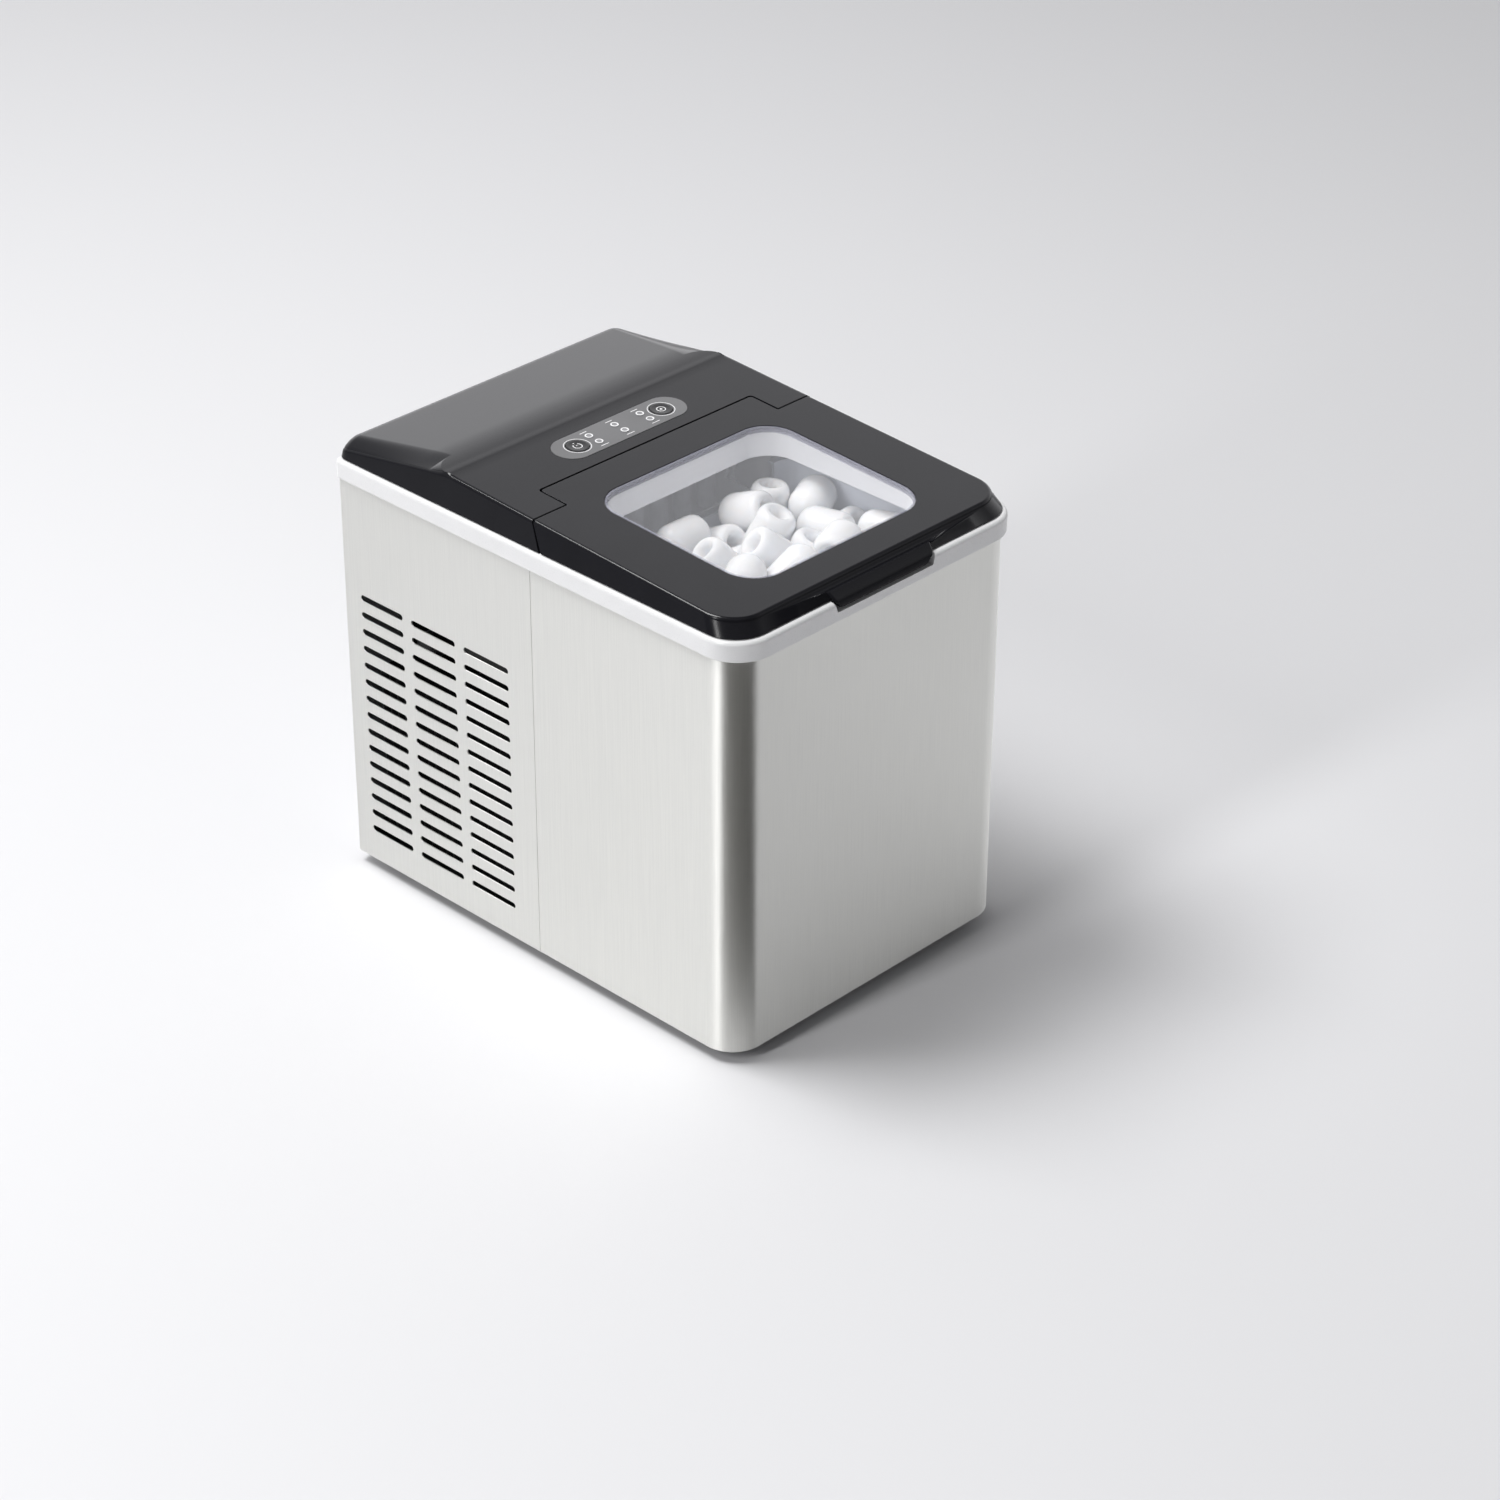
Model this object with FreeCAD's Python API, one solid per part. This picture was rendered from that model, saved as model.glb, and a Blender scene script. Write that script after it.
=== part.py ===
import FreeCAD
import Part
import math
import os

# Counter-top ice maker that freezes bullet ice on chilled fingers.
# Millimetres.  +Z is up, +X is to the right seen from the front, and the front faces -Y.
# The origin is on the floor, under the centre of the case.

# ---------------------------------------------------------------- driving dimensions
BODY_W = 242.0            # steel case, side to side
BODY_D = 340.0            # steel case, front to back
STEEL_LOW = 8.0           # lower edge of the steel
STEEL_TOP = 278.0         # upper edge of the steel, where the white rim starts
SHEET = 0.8               # steel thickness
FRONT_R = 22.0            # upright front corners
REAR_R = 3.0              # upright rear corners
SEAM_Y = -2.0             # upright seam between the front wrap and the side panels
SEAM_GAP = 0.8
WALL = 2.5                # moulded outer covers
FIT = 0.3                 # gap between pieces that move past each other

HALF_W = BODY_W / 2
HALF_D = BODY_D / 2

# white rim on top of the steel
RIM_TOP = 290.7
RIM_SIDE = 1.8            # how far it stands out at the sides
RIM_FRONT = 5.0           # and at the front
RIM_REAR = 0.6
RIM_LEDGE_Z = 284.0       # the bin liner's flange rests here
RIM_MOUTH_X = 112.2
RIM_MOUTH_Y = (-160.2, 160.0)
RIM_HOLE_X = 108.3
RIM_SKIRT = 10.0          # skirt that plugs into the steel

# top skin of lid and rear cover
ROOF_Z = 309.0            # height of the top plane above the origin
ROOF_RISE = 0.0482        # it rises towards the back
RIDGE_Y = 89.5            # where the top plane ends and the back slope starts
BACK_FALL = 0.1304        # the back slope falls this much per millimetre
HIP_Y = 69.3              # where the side edge starts to fall
HIP_FALL = 0.161
HIP_R = 19.7              # plan radius of the top plane's rear corners
HIP_REAR_W = 12.0         # width of the rounded hip at the rear
SIDE_INSET = 3.0          # the sides lean inwards by this much
COVER_LOW = 291.1         # lower edge of lid and rear cover
COVER_HALF = 120.6        # half width there
LID_FRONT_LOW = -171.0
LID_FRONT_TOP = -165.5
COVER_REAR = 168.5
LID_FRONT_R = 23.0

# seam between lid and rear cover, and the hinge
TAB_HALF = 90.5           # the lid's rear tab reaches back between the cover's ears
TAB_REAR = 22.4
EAR_FRONT_TOP = -1.0
EAR_FRONT_LOW = -10.0
LID_GAP = 1.2
HINGE_Y = 12.0
HINGE_Z = 305.7
PIN_R = 1.6
PIN_CLEAR = 0.05
KNUCKLE_R = 3.4

# window in the lid
WINDOW_HALF = 76.0
WINDOW_Y = (-141.0, -6.5)
WINDOW_R = 22.0
WINDOW_T = 4.0
COLLAR_LOW = 288.2        # underside of the white inner frame
COLLAR_PLATE = 2.2

# grip at the front of the lid
GRIP_HALF = 43.5
GRIP_LOW = 284.6

# control panel
PANEL_Y = 45.8
PANEL_W = 106.0
PANEL_H = 27.0
BUTTON_X = (-35.5, 35.5)
BUTTON_R = 7.2
BUTTON_HOLE_R = 7.6
BUTTON_TRAVEL = 0.7
LAMP_X = (-21.6, 0.0, 21.6)
LAMP_DY = 4.5
LAMP_R = 2.8
BOARD_DEPTH = 12.0        # circuit board below the panel's surface

# bin liner: deep bin in front, shelf behind it for the ice-making parts
LINER_T = 2.0
BIN_HALF = 106.0
BIN_Y = (-154.0, 12.0)
BIN_FLOOR = 58.0
SHELF_HALF = 98.0
SHELF_REAR = 90.0
SHELF_Z = (172.0, 178.0)
LINER_TOP = 286.5
LINER_FLANGE = 111.8
LEDGE_Z = 167.7           # the basket rests on this ledge
FOAM_HALF = 117.5
FOAM_Y = (-166.5, 22.0)
FOAM_Z = (44.0, 267.0)

# basket
BASKET_TOP = 276.0
BASKET_LOW = 168.0
BASKET_HALF = 100.0
BASKET_Y = (-149.0, -4.0)
BASKET_TAPER = 3.0
BASKET_T = 2.0

# ice-making parts
TRAY_Y = 45.0
TRAY_Z = 252.0
TRAY_R = 26.0
TRAY_T = 2.0
TRAY_HALF = 86.0
TRAY_OPEN = 10.0          # the trough's edges lie this many degrees below its axis
SHAFT_R = 3.0
FINGERS = 8
FINGER_PITCH = 21.0
FINGER_R = 6.0
FINGER_TIP = 229.0
COIL_R = 4.75
COIL_Z = 264.0
SHOVEL_R = (34.0, 66.0)
SHOVEL_REST = -25.0       # degrees from straight down, towards the front
SHOVEL_ARM_X = (90.5, 93.5)

# cooling parts behind the bin
COMP_X = 40.0
COMP_Y = 100.0
COMP_R = 50.0
COMP_Z = (24.0, 134.0)
COND_X = (-113.0, -83.0)
COND_Y = (32.0, 152.0)
COND_Z = (26.0, 150.0)
COND_FINS = 17
COND_ROWS = 6
COND_TUBE_R = 3.5
FAN_Y = 92.0
FAN_Z = 88.0
FAN_R = 48.0
FAN_X = (-70.0, -56.0)
DRAIN_X = -25.0
DRAIN_Z = 38.0
PUMP_X = 88.0
PUMP_Y = 46.0
SPOUT_X = 112.0           # where the delivery hose meets the spout's elbow
SPOUT_Y = 78.0
NOSE_REACH = 8.0
SPOUT_Z = 272.0

# vents: three columns of long holes in each side
SLOT_COLUMNS = ((115.0, 153.4), (67.3, 107.0), (19.8, 59.4))
SLOT_LOW = 31.5
SLOT_PITCH = 12.0
SLOT_ROWS = 15
SLOT_H = 4.0

# feet and base
FOOT_R = 11.0
FOOT_H = 4.0
FOOT_X = 92.0
FOOT_Y = 142.0
STANDOFF_Y = 175.0        # pressed ribs on the rear panel keep it off a wall

X_AXIS = FreeCAD.Vector(1, 0, 0)
Y_AXIS = FreeCAD.Vector(0, 1, 0)
Z_AXIS = FreeCAD.Vector(0, 0, 1)


# ---------------------------------------------------------------- small helpers
def vec(x, y, z):
    return FreeCAD.Vector(x, y, z)


def box(x, y, z):
    """Block from its low and high limits along each axis."""
    return Part.makeBox(x[1] - x[0], y[1] - y[0], z[1] - z[0], vec(x[0], y[0], z[0]))


def rod(start, axis, radius, length):
    return Part.makeCylinder(radius, length, start, axis)


def fuse(shapes):
    return shapes[0].multiFuse(shapes[1:]).removeSplitter()


def group(shapes):
    """Separate solids that share one node."""
    return Part.makeCompound(shapes)


def outline(x, y, radii, z):
    """Rectangle with rounded corners, in the order front left, front right, rear right, rear left."""
    corners = (
        (x[0], y[0], 1, 1, 180),
        (x[1], y[0], -1, 1, 270),
        (x[1], y[1], -1, -1, 0),
        (x[0], y[1], 1, -1, 90),
    )
    arcs = []
    for (cx, cy, sx, sy, start), radius in zip(corners, radii):
        centre = vec(cx + sx * radius, cy + sy * radius, z)
        circle = Part.Circle(centre, Z_AXIS, radius)
        arcs.append(Part.ArcOfCircle(circle, math.radians(start), math.radians(start + 90)).toShape())
    edges = []
    for i, arc in enumerate(arcs):
        following = arcs[(i + 1) % 4]
        edges.append(arc)
        edges.append(Part.makeLine(arc.valueAt(arc.LastParameter), following.valueAt(following.FirstParameter)))
    return Part.Wire(edges)


def slab(x, y, radii, z):
    """Rounded rectangle pulled up from z[0] to z[1]."""
    if not isinstance(radii, tuple):
        radii = (radii,) * 4
    return Part.Face(outline(x, y, radii, z[0])).extrude(vec(0, 0, z[1] - z[0]))


def side_prism(points, x):
    """Outline given as (y, z) points, pulled along X."""
    corners = [vec(x[0], py, pz) for py, pz in points]
    face = Part.Face(Part.makePolygon(corners + corners[:1]))
    return face.extrude(vec(x[1] - x[0], 0, 0))


def mirrored(shape):
    return shape.mirror(vec(0, 0, 0), X_AXIS)


def on_roof(shape):
    """Moves a shape drawn on the flat, with its top at z = 0, onto the sloping top plane."""
    placed = shape.copy()
    placed.rotate(vec(0, 0, 0), X_AXIS, math.degrees(math.atan(ROOF_RISE)))
    placed.translate(vec(0, 0, ROOF_Z))
    return placed


def stadium(cx, cy, width, height, z):
    end = height / 2 - 0.001
    return slab((cx - width / 2, cx + width / 2), (cy - height / 2, cy + height / 2), end, z)


def pipe(points, radius, bend):
    """Round tube along straight runs that are joined by tangent arcs."""
    points = [vec(*p) for p in points]
    edges = []
    last = points[0]
    for before, corner, after in zip(points, points[1:], points[2:]):
        into = (corner - before).normalize()
        out = (after - corner).normalize()
        half_turn = into.getAngle(out) / 2
        shorter = min((corner - before).Length, (after - corner).Length)
        reach = min(bend * math.tan(half_turn), 0.45 * shorter)
        arc_radius = reach / math.tan(half_turn)
        start = corner - into * reach
        end = corner + out * reach
        inward = (out - into).normalize()
        centre = corner + inward * (arc_radius / math.cos(half_turn))
        middle = centre - inward * arc_radius
        edges.append(Part.makeLine(last, start))
        edges.append(Part.Arc(start, middle, end).toShape())
        last = end
    edges.append(Part.makeLine(last, points[-1]))
    spine = Part.Wire(edges)
    first = (points[1] - points[0]).normalize()
    profile = Part.Wire([Part.makeCircle(radius, points[0], first)])
    return spine.makePipeShell([profile], True, True)


def screw(point, axis, thread_r, length, head_r=3.2, head_h=2.0):
    """Pan-head screw: point is under the head, and axis points along the thread."""
    shank = rod(point, axis, thread_r, length)
    head = rod(point - axis * head_h, axis, head_r, head_h)
    slot = box((-head_r, head_r), (-0.5, 0.5), (0, 0.9))
    slot.Placement = FreeCAD.Placement(point - axis * head_h, FreeCAD.Rotation(Z_AXIS, axis))
    return fuse([shank, head]).cut(slot)


# ---------------------------------------------------------------- the top skin
def hip_width(y):
    """Width, in from the side edge, over which the skin falls away."""
    if y <= HIP_Y:
        return 1.0
    if y < HIP_Y + HIP_R:
        along = y - HIP_Y
        return max(1.0, HIP_R - math.sqrt(HIP_R ** 2 - along ** 2))
    share = (y - HIP_Y - HIP_R) / (COVER_REAR - HIP_Y - HIP_R)
    return HIP_R + (HIP_REAR_W - HIP_R) * share


def skin_section(y, lower, inset):
    """Closed outline, across the machine at y, of everything under the top skin."""
    plane = ROOF_Z + ROOF_RISE * y
    ridge = ROOF_Z + ROOF_RISE * RIDGE_Y
    roof = min(plane, ridge - BACK_FALL * (y - RIDGE_Y))
    edge = min(roof, ROOF_Z + ROOF_RISE * HIP_Y - HIP_FALL * (y - HIP_Y))
    power = 1.0 + min(1.0, max(0.0, (y - RIDGE_Y) / (COVER_REAR - RIDGE_Y)))
    full_lean = ROOF_Z - COVER_LOW
    edge_x = COVER_HALF - SIDE_INSET * min(1.0, (edge - COVER_LOW) / full_lean)
    if y < HIP_Y:
        edge_x = COVER_HALF - SIDE_INSET
    width = hip_width(y)
    half = [(COVER_HALF - inset, COVER_LOW - 20.0), (COVER_HALF - inset, COVER_LOW)]
    for step in range(5):
        share = 1.0 - step / 4
        height = roof - (roof - edge) * share ** power
        half.append((edge_x - inset - width * (1.0 - share), height - lower))
    left = [(-x, z) for x, z in reversed(half)]
    corners = [vec(x, y, z) for x, z in half + left]
    return Part.makePolygon(corners + corners[:1])


def skin_form(lower=0.0, inset=0.0):
    """Solid below the whole top skin, from in front of the lid to behind the rear cover."""
    bends = [-180.0, HIP_Y]
    bends += [HIP_Y + HIP_R * share for share in (0.35, 0.6, 0.8, 0.92, 1.0)]
    bends += [RIDGE_Y + 0.5, 110.0, 130.0, 150.0, COVER_REAR + 1.0]
    sections = [skin_section(y, lower, inset) for y in bends]
    return Part.makeLoft(sections, True, True)


def plan_form(inset=0.0):
    """Plan shape of lid and rear cover, with the front face leaning back."""
    x = (-COVER_HALF - 1 + inset, COVER_HALF + 1 - inset)
    y = (LID_FRONT_LOW + inset, COVER_REAR - inset)
    radii = (LID_FRONT_R - inset, LID_FRONT_R - inset, REAR_R, REAR_R)
    prism = slab(x, y, radii, (COVER_LOW - 10.0, 335.0))
    lean = (LID_FRONT_TOP - LID_FRONT_LOW) / (ROOF_Z + ROOF_RISE * LID_FRONT_TOP - COVER_LOW)
    low = (y[0] - 20 * lean, COVER_LOW - 20)
    high = (y[0] + 50 * lean, COVER_LOW + 50)
    return prism.cut(side_prism([low, high, (y[0] - 60, high[1]), (y[0] - 60, low[1])], (-140, 140)))


def covers_form(inset=0.0, lower=0.0):
    return skin_form(lower, inset).common(plan_form(inset))


def seam_cutter(gap):
    """Everything behind the seam; a positive gap moves the seam forwards."""
    high = 340.0
    low = COVER_LOW - 30.0
    run = (EAR_FRONT_TOP - EAR_FRONT_LOW) / (ROOF_Z - RIM_TOP)
    top_y = EAR_FRONT_TOP + run * (high - ROOF_Z) - gap
    low_y = EAR_FRONT_LOW - run * (RIM_TOP - low) - gap
    ears = side_prism([(low_y, low), (200, low), (200, high), (top_y, high)], (-140, 140))
    tab_half = TAB_HALF - gap
    tab = box((-tab_half, tab_half), (low_y - 60, TAB_REAR - gap), (low - 1, high + 1))
    return ears.cut(tab)


# ---------------------------------------------------------------- case
def base_tray():
    plinth = slab((-114, 114), (-163, 163), (16, 16, 4, 4), (FOOT_H, STEEL_LOW))
    edge = SHEET + 0.2
    radii = (FRONT_R - edge, FRONT_R - edge, 2.5, 2.5)
    rim_x = (-HALF_W + edge, HALF_W - edge)
    rim_y = (-HALF_D + edge, HALF_D - edge)
    tray = slab(rim_x, rim_y, radii, (STEEL_LOW, 22.0))
    inner_x = (rim_x[0] + WALL, rim_x[1] - WALL)
    inner_y = (rim_y[0] + WALL, rim_y[1] - WALL)
    inner = tuple(max(1.0, r - WALL) for r in radii)
    hollow = slab(inner_x, inner_y, inner, (STEEL_LOW + 2.5, 30.0))
    body = plinth.fuse(tray).cut(hollow)
    for x in (-FOOT_X, FOOT_X):
        for y in (-FOOT_Y, FOOT_Y):
            body = body.cut(rod(vec(x, y, 0), Z_AXIS, 4.0, 20.0))
    for x, y in base_screw_places():
        body = body.cut(rod(vec(x, y, 0), Z_AXIS, 1.7, 30.0))
    return body.removeSplitter()


def base_screw_places():
    return [(x, y) for x in (-60.0, 60.0) for y in (-150.0, 12.0)]


def base_screws():
    screws = []
    for x, y in base_screw_places():
        screws.append(screw(vec(x, y, FOOT_H - 0.01), Z_AXIS, 1.65, 14.0, 3.2, 1.8))
    return group(screws)


def rubber_feet():
    feet = []
    for x in (-FOOT_X, FOOT_X):
        for y in (-FOOT_Y, FOOT_Y):
            pad = Part.makeCone(FOOT_R - 1.2, FOOT_R, FOOT_H, vec(x, y, 0), Z_AXIS)
            stem = rod(vec(x, y, FOOT_H), Z_AXIS, 4.0, 6.5)
            feet.append(fuse([pad, stem]))
    return group(feet)


def front_shell():
    """Steel wrap: the front and the front half of both sides, bent from one sheet."""
    z = (STEEL_LOW, STEEL_TOP)
    rear = SEAM_Y - SEAM_GAP / 2
    outer = slab((-HALF_W, HALF_W), (-HALF_D, 40), (FRONT_R, FRONT_R, 1, 1), z)
    r = FRONT_R - SHEET
    inner = slab((-HALF_W + SHEET, HALF_W - SHEET), (-HALF_D + SHEET, 50), (r, r, 1, 1), z)
    return outer.cut(inner).cut(box((-130, 130), (rear, 60), (0, 300)))


def side_vents(x):
    """Cutters for the long round-ended holes in one side."""
    cutters = []
    for row in range(SLOT_ROWS):
        z = SLOT_LOW + row * SLOT_PITCH
        for y0, y1 in SLOT_COLUMNS:
            radius = SLOT_H / 2
            middle = box((x - 3, x + 3), (y0 + radius, y1 - radius), (z - radius, z + radius))
            ends = [rod(vec(x - 3, y, z), X_AXIS, radius, 6) for y in (y0 + radius, y1 - radius)]
            cutters.append(fuse([middle] + ends))
    return cutters


def left_side_panel():
    z = (STEEL_LOW, STEEL_TOP)
    front = SEAM_Y + SEAM_GAP / 2
    outer = slab((-HALF_W, 0), (-20, HALF_D), (1, 1, 1, REAR_R), z)
    inner = slab((-HALF_W + SHEET, 10), (-30, HALF_D - SHEET), (1, 1, 1, REAR_R - SHEET), z)
    sheet = outer.cut(inner)
    sheet = sheet.cut(box((-130, 10), (-40, front), (0, 300)))
    sheet = sheet.cut(box((-HALF_W + 13, 10), (-40, 200), (0, 300)))
    lap = box((-HALF_W + SHEET, -HALF_W + 2 * SHEET), (SEAM_Y - 9, SEAM_Y + 5), (24.0, STEEL_TOP))
    sheet = fuse([sheet, lap.common(sheet.fuse(lap))])
    sheet = sheet.cut(Part.makeCompound(side_vents(-HALF_W)))
    for place_x, place_z in rear_screw_places():
        if place_x < 0:
            sheet = sheet.cut(rod(vec(place_x, 150, place_z), Y_AXIS, 1.7, 30))
    return sheet


def right_side_panel():
    return mirrored(left_side_panel())


def rear_screw_places():
    return [(x, z) for x in (-113.0, 113.0) for z in (24.0, 104.0, 184.0, 264.0)]


def rear_panel():
    """Plate over the side panels' flanges, with two pressed ribs, vents, and holes."""
    plate = slab((-118, 118), (10, 276), 4, (0, SHEET))
    plate.rotate(vec(0, 0, 0), X_AXIS, 90)
    plate.translate(vec(0, HALF_D + SHEET, 0))
    for x in (-80.0, 80.0):
        rib = box((x - 6, x + 6), (HALF_D + SHEET, STANDOFF_Y), (150, 250))
        rib = rib.makeFillet(2.5, [e for e in rib.Edges if e.BoundBox.YMin > STANDOFF_Y - 0.1])
        plate = plate.fuse(rib)
    plate = plate.removeSplitter()
    cutters = []
    for row in range(10):
        z = 60 + row * SLOT_PITCH
        for x in (-45.0, 0.0, 45.0):
            slot = slab((x - 18, x + 18), (z - 2, z + 2), 1.99, (0, 12))
            slot.rotate(vec(0, 0, 0), X_AXIS, 90)
            slot.translate(vec(0, HALF_D + 6, 0))
            cutters.append(slot)
    cutters.append(rod(vec(DRAIN_X, 160, DRAIN_Z), Y_AXIS, 14.0, 20))
    cutters.append(rod(vec(70, 160, 36), Y_AXIS, 8.0, 20))
    for x, z in rear_screw_places():
        cutters.append(rod(vec(x, 160, z), Y_AXIS, 1.7, 20))
    return plate.cut(Part.makeCompound(cutters))


def rear_panel_screws():
    face = HALF_D + SHEET
    return group([screw(vec(x, face, z), -Y_AXIS, 1.65, 8.0, 3.2, 1.8) for x, z in rear_screw_places()])


def cord_gland():
    """Rubber bush that the supply lead would pass through."""
    face = HALF_D + SHEET
    bush = rod(vec(70, face - 5, 36), Y_AXIS, 7.9, 5)
    collar = rod(vec(70, face, 36), Y_AXIS, 11.0, 3.0)
    bore = rod(vec(70, face - 6, 36), Y_AXIS, 3.6, 12)
    return fuse([bush, collar]).cut(bore)


def top_rim():
    """White moulded frame between the steel case and the lid."""
    x = (-HALF_W - RIM_SIDE, HALF_W + RIM_SIDE)
    y = (-HALF_D - RIM_FRONT, HALF_D + RIM_REAR)
    corner = FRONT_R + 3.5
    ring = slab(x, y, (corner, corner, REAR_R + 1, REAR_R + 1), (STEEL_TOP, RIM_TOP))
    top_edges = [e for e in ring.Edges if e.BoundBox.ZMin > RIM_TOP - 0.1]
    ring = ring.makeFillet(1.6, top_edges)
    skirt_x = (-HALF_W + SHEET + 0.2, HALF_W - SHEET - 0.2)
    skirt_y = (-HALF_D + SHEET + 0.2, HALF_D - SHEET - 0.2)
    skirt_r = FRONT_R - SHEET - 0.2
    skirt_z = (STEEL_TOP - RIM_SKIRT, STEEL_TOP)
    skirt = slab(skirt_x, skirt_y, (skirt_r, skirt_r, 2, 2), skirt_z)
    inside_x = (skirt_x[0] + 2, skirt_x[1] - 2)
    inside_y = (skirt_y[0] + 2, skirt_y[1] - 2)
    inside = slab(inside_x, inside_y, (skirt_r - 2, skirt_r - 2, 1.5, 1.5), (200, STEEL_TOP))
    laps = [box((-HALF_W, -HALF_W + 4), (SEAM_Y - 10, SEAM_Y + 6), (200, STEEL_TOP))]
    laps.append(mirrored(laps[0]))
    skirt = skirt.cut(inside).cut(laps[0]).cut(laps[1])
    hole = slab((-RIM_HOLE_X, RIM_HOLE_X), (BIN_Y[0] - 2.3, RIM_MOUTH_Y[1]), (14, 14, 4, 4), (200, 300))
    mouth = slab((-RIM_MOUTH_X, RIM_MOUTH_X), RIM_MOUTH_Y, (15, 15, 5, 5), (RIM_LEDGE_Z, 300))
    body = ring.fuse(skirt).cut(hole).cut(mouth)
    return body.cut(grip_recess(0.0)).removeSplitter()


def grip_recess(gap):
    """Room in the rim's front for the lid's grip, with sloping ends."""
    low = GRIP_LOW - 0.6 + gap
    high = 300.0
    slope = 2.4
    half_low = GRIP_HALF - slope - gap
    half_high = GRIP_HALF + (high - RIM_TOP) * slope / (RIM_TOP - GRIP_LOW) - gap
    front = -HALF_D - RIM_FRONT - 5
    corners = [(-half_low, low), (half_low, low), (half_high, high), (-half_high, high)]
    points = [vec(x, front, z) for x, z in corners]
    face = Part.Face(Part.makePolygon(points + points[:1]))
    return face.extrude(vec(0, -front - 166.0 - gap, 0))


# ---------------------------------------------------------------- covers on top
def rear_cover():
    """Black cover behind the lid: hinge ears, control panel and back slope."""
    outer = covers_form()
    hollow = covers_form(WALL, WALL)
    hollow = hollow.fuse(box((-118, 118), (-5, COVER_REAR - WALL), (200, COVER_LOW + 1)))
    behind = seam_cutter(0.0)
    behind_inner = seam_cutter(-WALL)
    shell = outer.common(behind).cut(hollow.common(behind_inner))
    shell = shell.cut(box((-200, 200), (-200, 200), (0, COVER_LOW)))
    boss_x = (TAB_HALF + 0.4, TAB_HALF + 8.0)
    boss = rod(vec(boss_x[0], HINGE_Y, HINGE_Z), X_AXIS, KNUCKLE_R, boss_x[1] - boss_x[0])
    posts = []
    for x in (-48.0, 48.0):
        for y in (PANEL_Y - 9, PANEL_Y + 9):
            posts.append(on_roof(rod(vec(x, y, -BOARD_DEPTH), Z_AXIS, 3.0, BOARD_DEPTH - 1.0)))
    shell = shell.multiFuse([boss.common(outer), mirrored(boss).common(outer)] + posts)
    cutters = [rod(vec(-150, HINGE_Y, HINGE_Z), X_AXIS, PIN_R, 300)]
    cutters[0] = cutters[0].cut(box((-TAB_HALF, TAB_HALF), (0, 30), (280, 320)))
    cutters[0] = cutters[0].common(box((-98.5, 98.5), (0, 30), (280, 320)))
    cutters.append(on_roof(stadium(0, PANEL_Y, PANEL_W, PANEL_H, (-0.6, 2))))
    for x in BUTTON_X:
        cutters.append(on_roof(rod(vec(x, PANEL_Y, -9), Z_AXIS, BUTTON_HOLE_R, 12)))
    for x, y in lamp_places():
        cutters.append(on_roof(rod(vec(x, y, -4), Z_AXIS, LAMP_R, 6)))
    for x in (-48.0, 48.0):
        for y in (PANEL_Y - 9, PANEL_Y + 9):
            cutters.append(on_roof(rod(vec(x, y, -BOARD_DEPTH - 1), Z_AXIS, 1.2, 8)))
    for cutter in cutters:
        shell = shell.cut(cutter)
    return shell.removeSplitter()


def lamp_places():
    return [(x, PANEL_Y + dy) for x in LAMP_X for dy in (-LAMP_DY, LAMP_DY)]


def control_overlay():
    """Grey film with round openings for the two buttons and six lamps."""
    film = stadium(0, PANEL_Y, PANEL_W - 0.4, PANEL_H - 0.4, (-0.6, 0.25))
    for x in BUTTON_X:
        film = film.cut(rod(vec(x, PANEL_Y, -5), Z_AXIS, BUTTON_HOLE_R, 10))
    for x, y in lamp_places():
        film = film.cut(rod(vec(x, y, -5), Z_AXIS, LAMP_R, 10))
    return on_roof(film)


def button(x):
    """Round key: cap, flange that holds it under the cover, and a stem for the switch."""
    cap = rod(vec(x, PANEL_Y, -3.8), Z_AXIS, BUTTON_R, 4.25)
    cap = cap.makeFillet(0.5, [e for e in cap.Edges if e.BoundBox.ZMin > 0.4])
    flange = rod(vec(x, PANEL_Y, -4.0), Z_AXIS, BUTTON_HOLE_R + 1.2, 1.2)
    stem = rod(vec(x, PANEL_Y, -9.0), Z_AXIS, 2.5, 5.2)
    return on_roof(fuse([cap, flange, stem]))


def power_button():
    return button(BUTTON_X[0])


def select_button():
    return button(BUTTON_X[1])


def indicator_lenses():
    return group([on_roof(rod(vec(x, y, -3.2), Z_AXIS, LAMP_R, 3.6)) for x, y in lamp_places()])


def display_board():
    """Circuit board under the panel, with its two switches and six lamps."""
    top = -BOARD_DEPTH
    board = box((-52, 52), (PANEL_Y - 13, PANEL_Y + 13), (top - 1.6, top))
    for x in (-48.0, 48.0):
        for y in (PANEL_Y - 9, PANEL_Y + 9):
            board = board.cut(rod(vec(x, y, -20), Z_AXIS, 1.5, 20))
    pieces = [board]
    for x in BUTTON_X:
        pieces.append(box((x - 3, x + 3), (PANEL_Y - 3, PANEL_Y + 3), (top, top + 1.6)))
        pieces.append(rod(vec(x, PANEL_Y, top + 1.6), Z_AXIS, 1.7, 0.5))
    for x, y in lamp_places():
        pieces.append(rod(vec(x, y, top), Z_AXIS, 1.5, 6.0))
    pieces.append(box((-6, 6), (PANEL_Y - 12.5, PANEL_Y - 8.0), (top - 6.0, top - 1.6)))
    return on_roof(fuse(pieces))


def display_board_screws():
    screws = []
    for x in (-48.0, 48.0):
        for y in (PANEL_Y - 9, PANEL_Y + 9):
            screws.append(on_roof(screw(vec(x, y, -BOARD_DEPTH - 1.6), Z_AXIS, 1.15, 7.0, 2.4, 1.4)))
    return group(screws)


# ---------------------------------------------------------------- lid
def lid_screw_places():
    return [(x, y) for x in (-94.0, 94.0) for y in (-146.0, -86.0, -26.0)]


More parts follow.
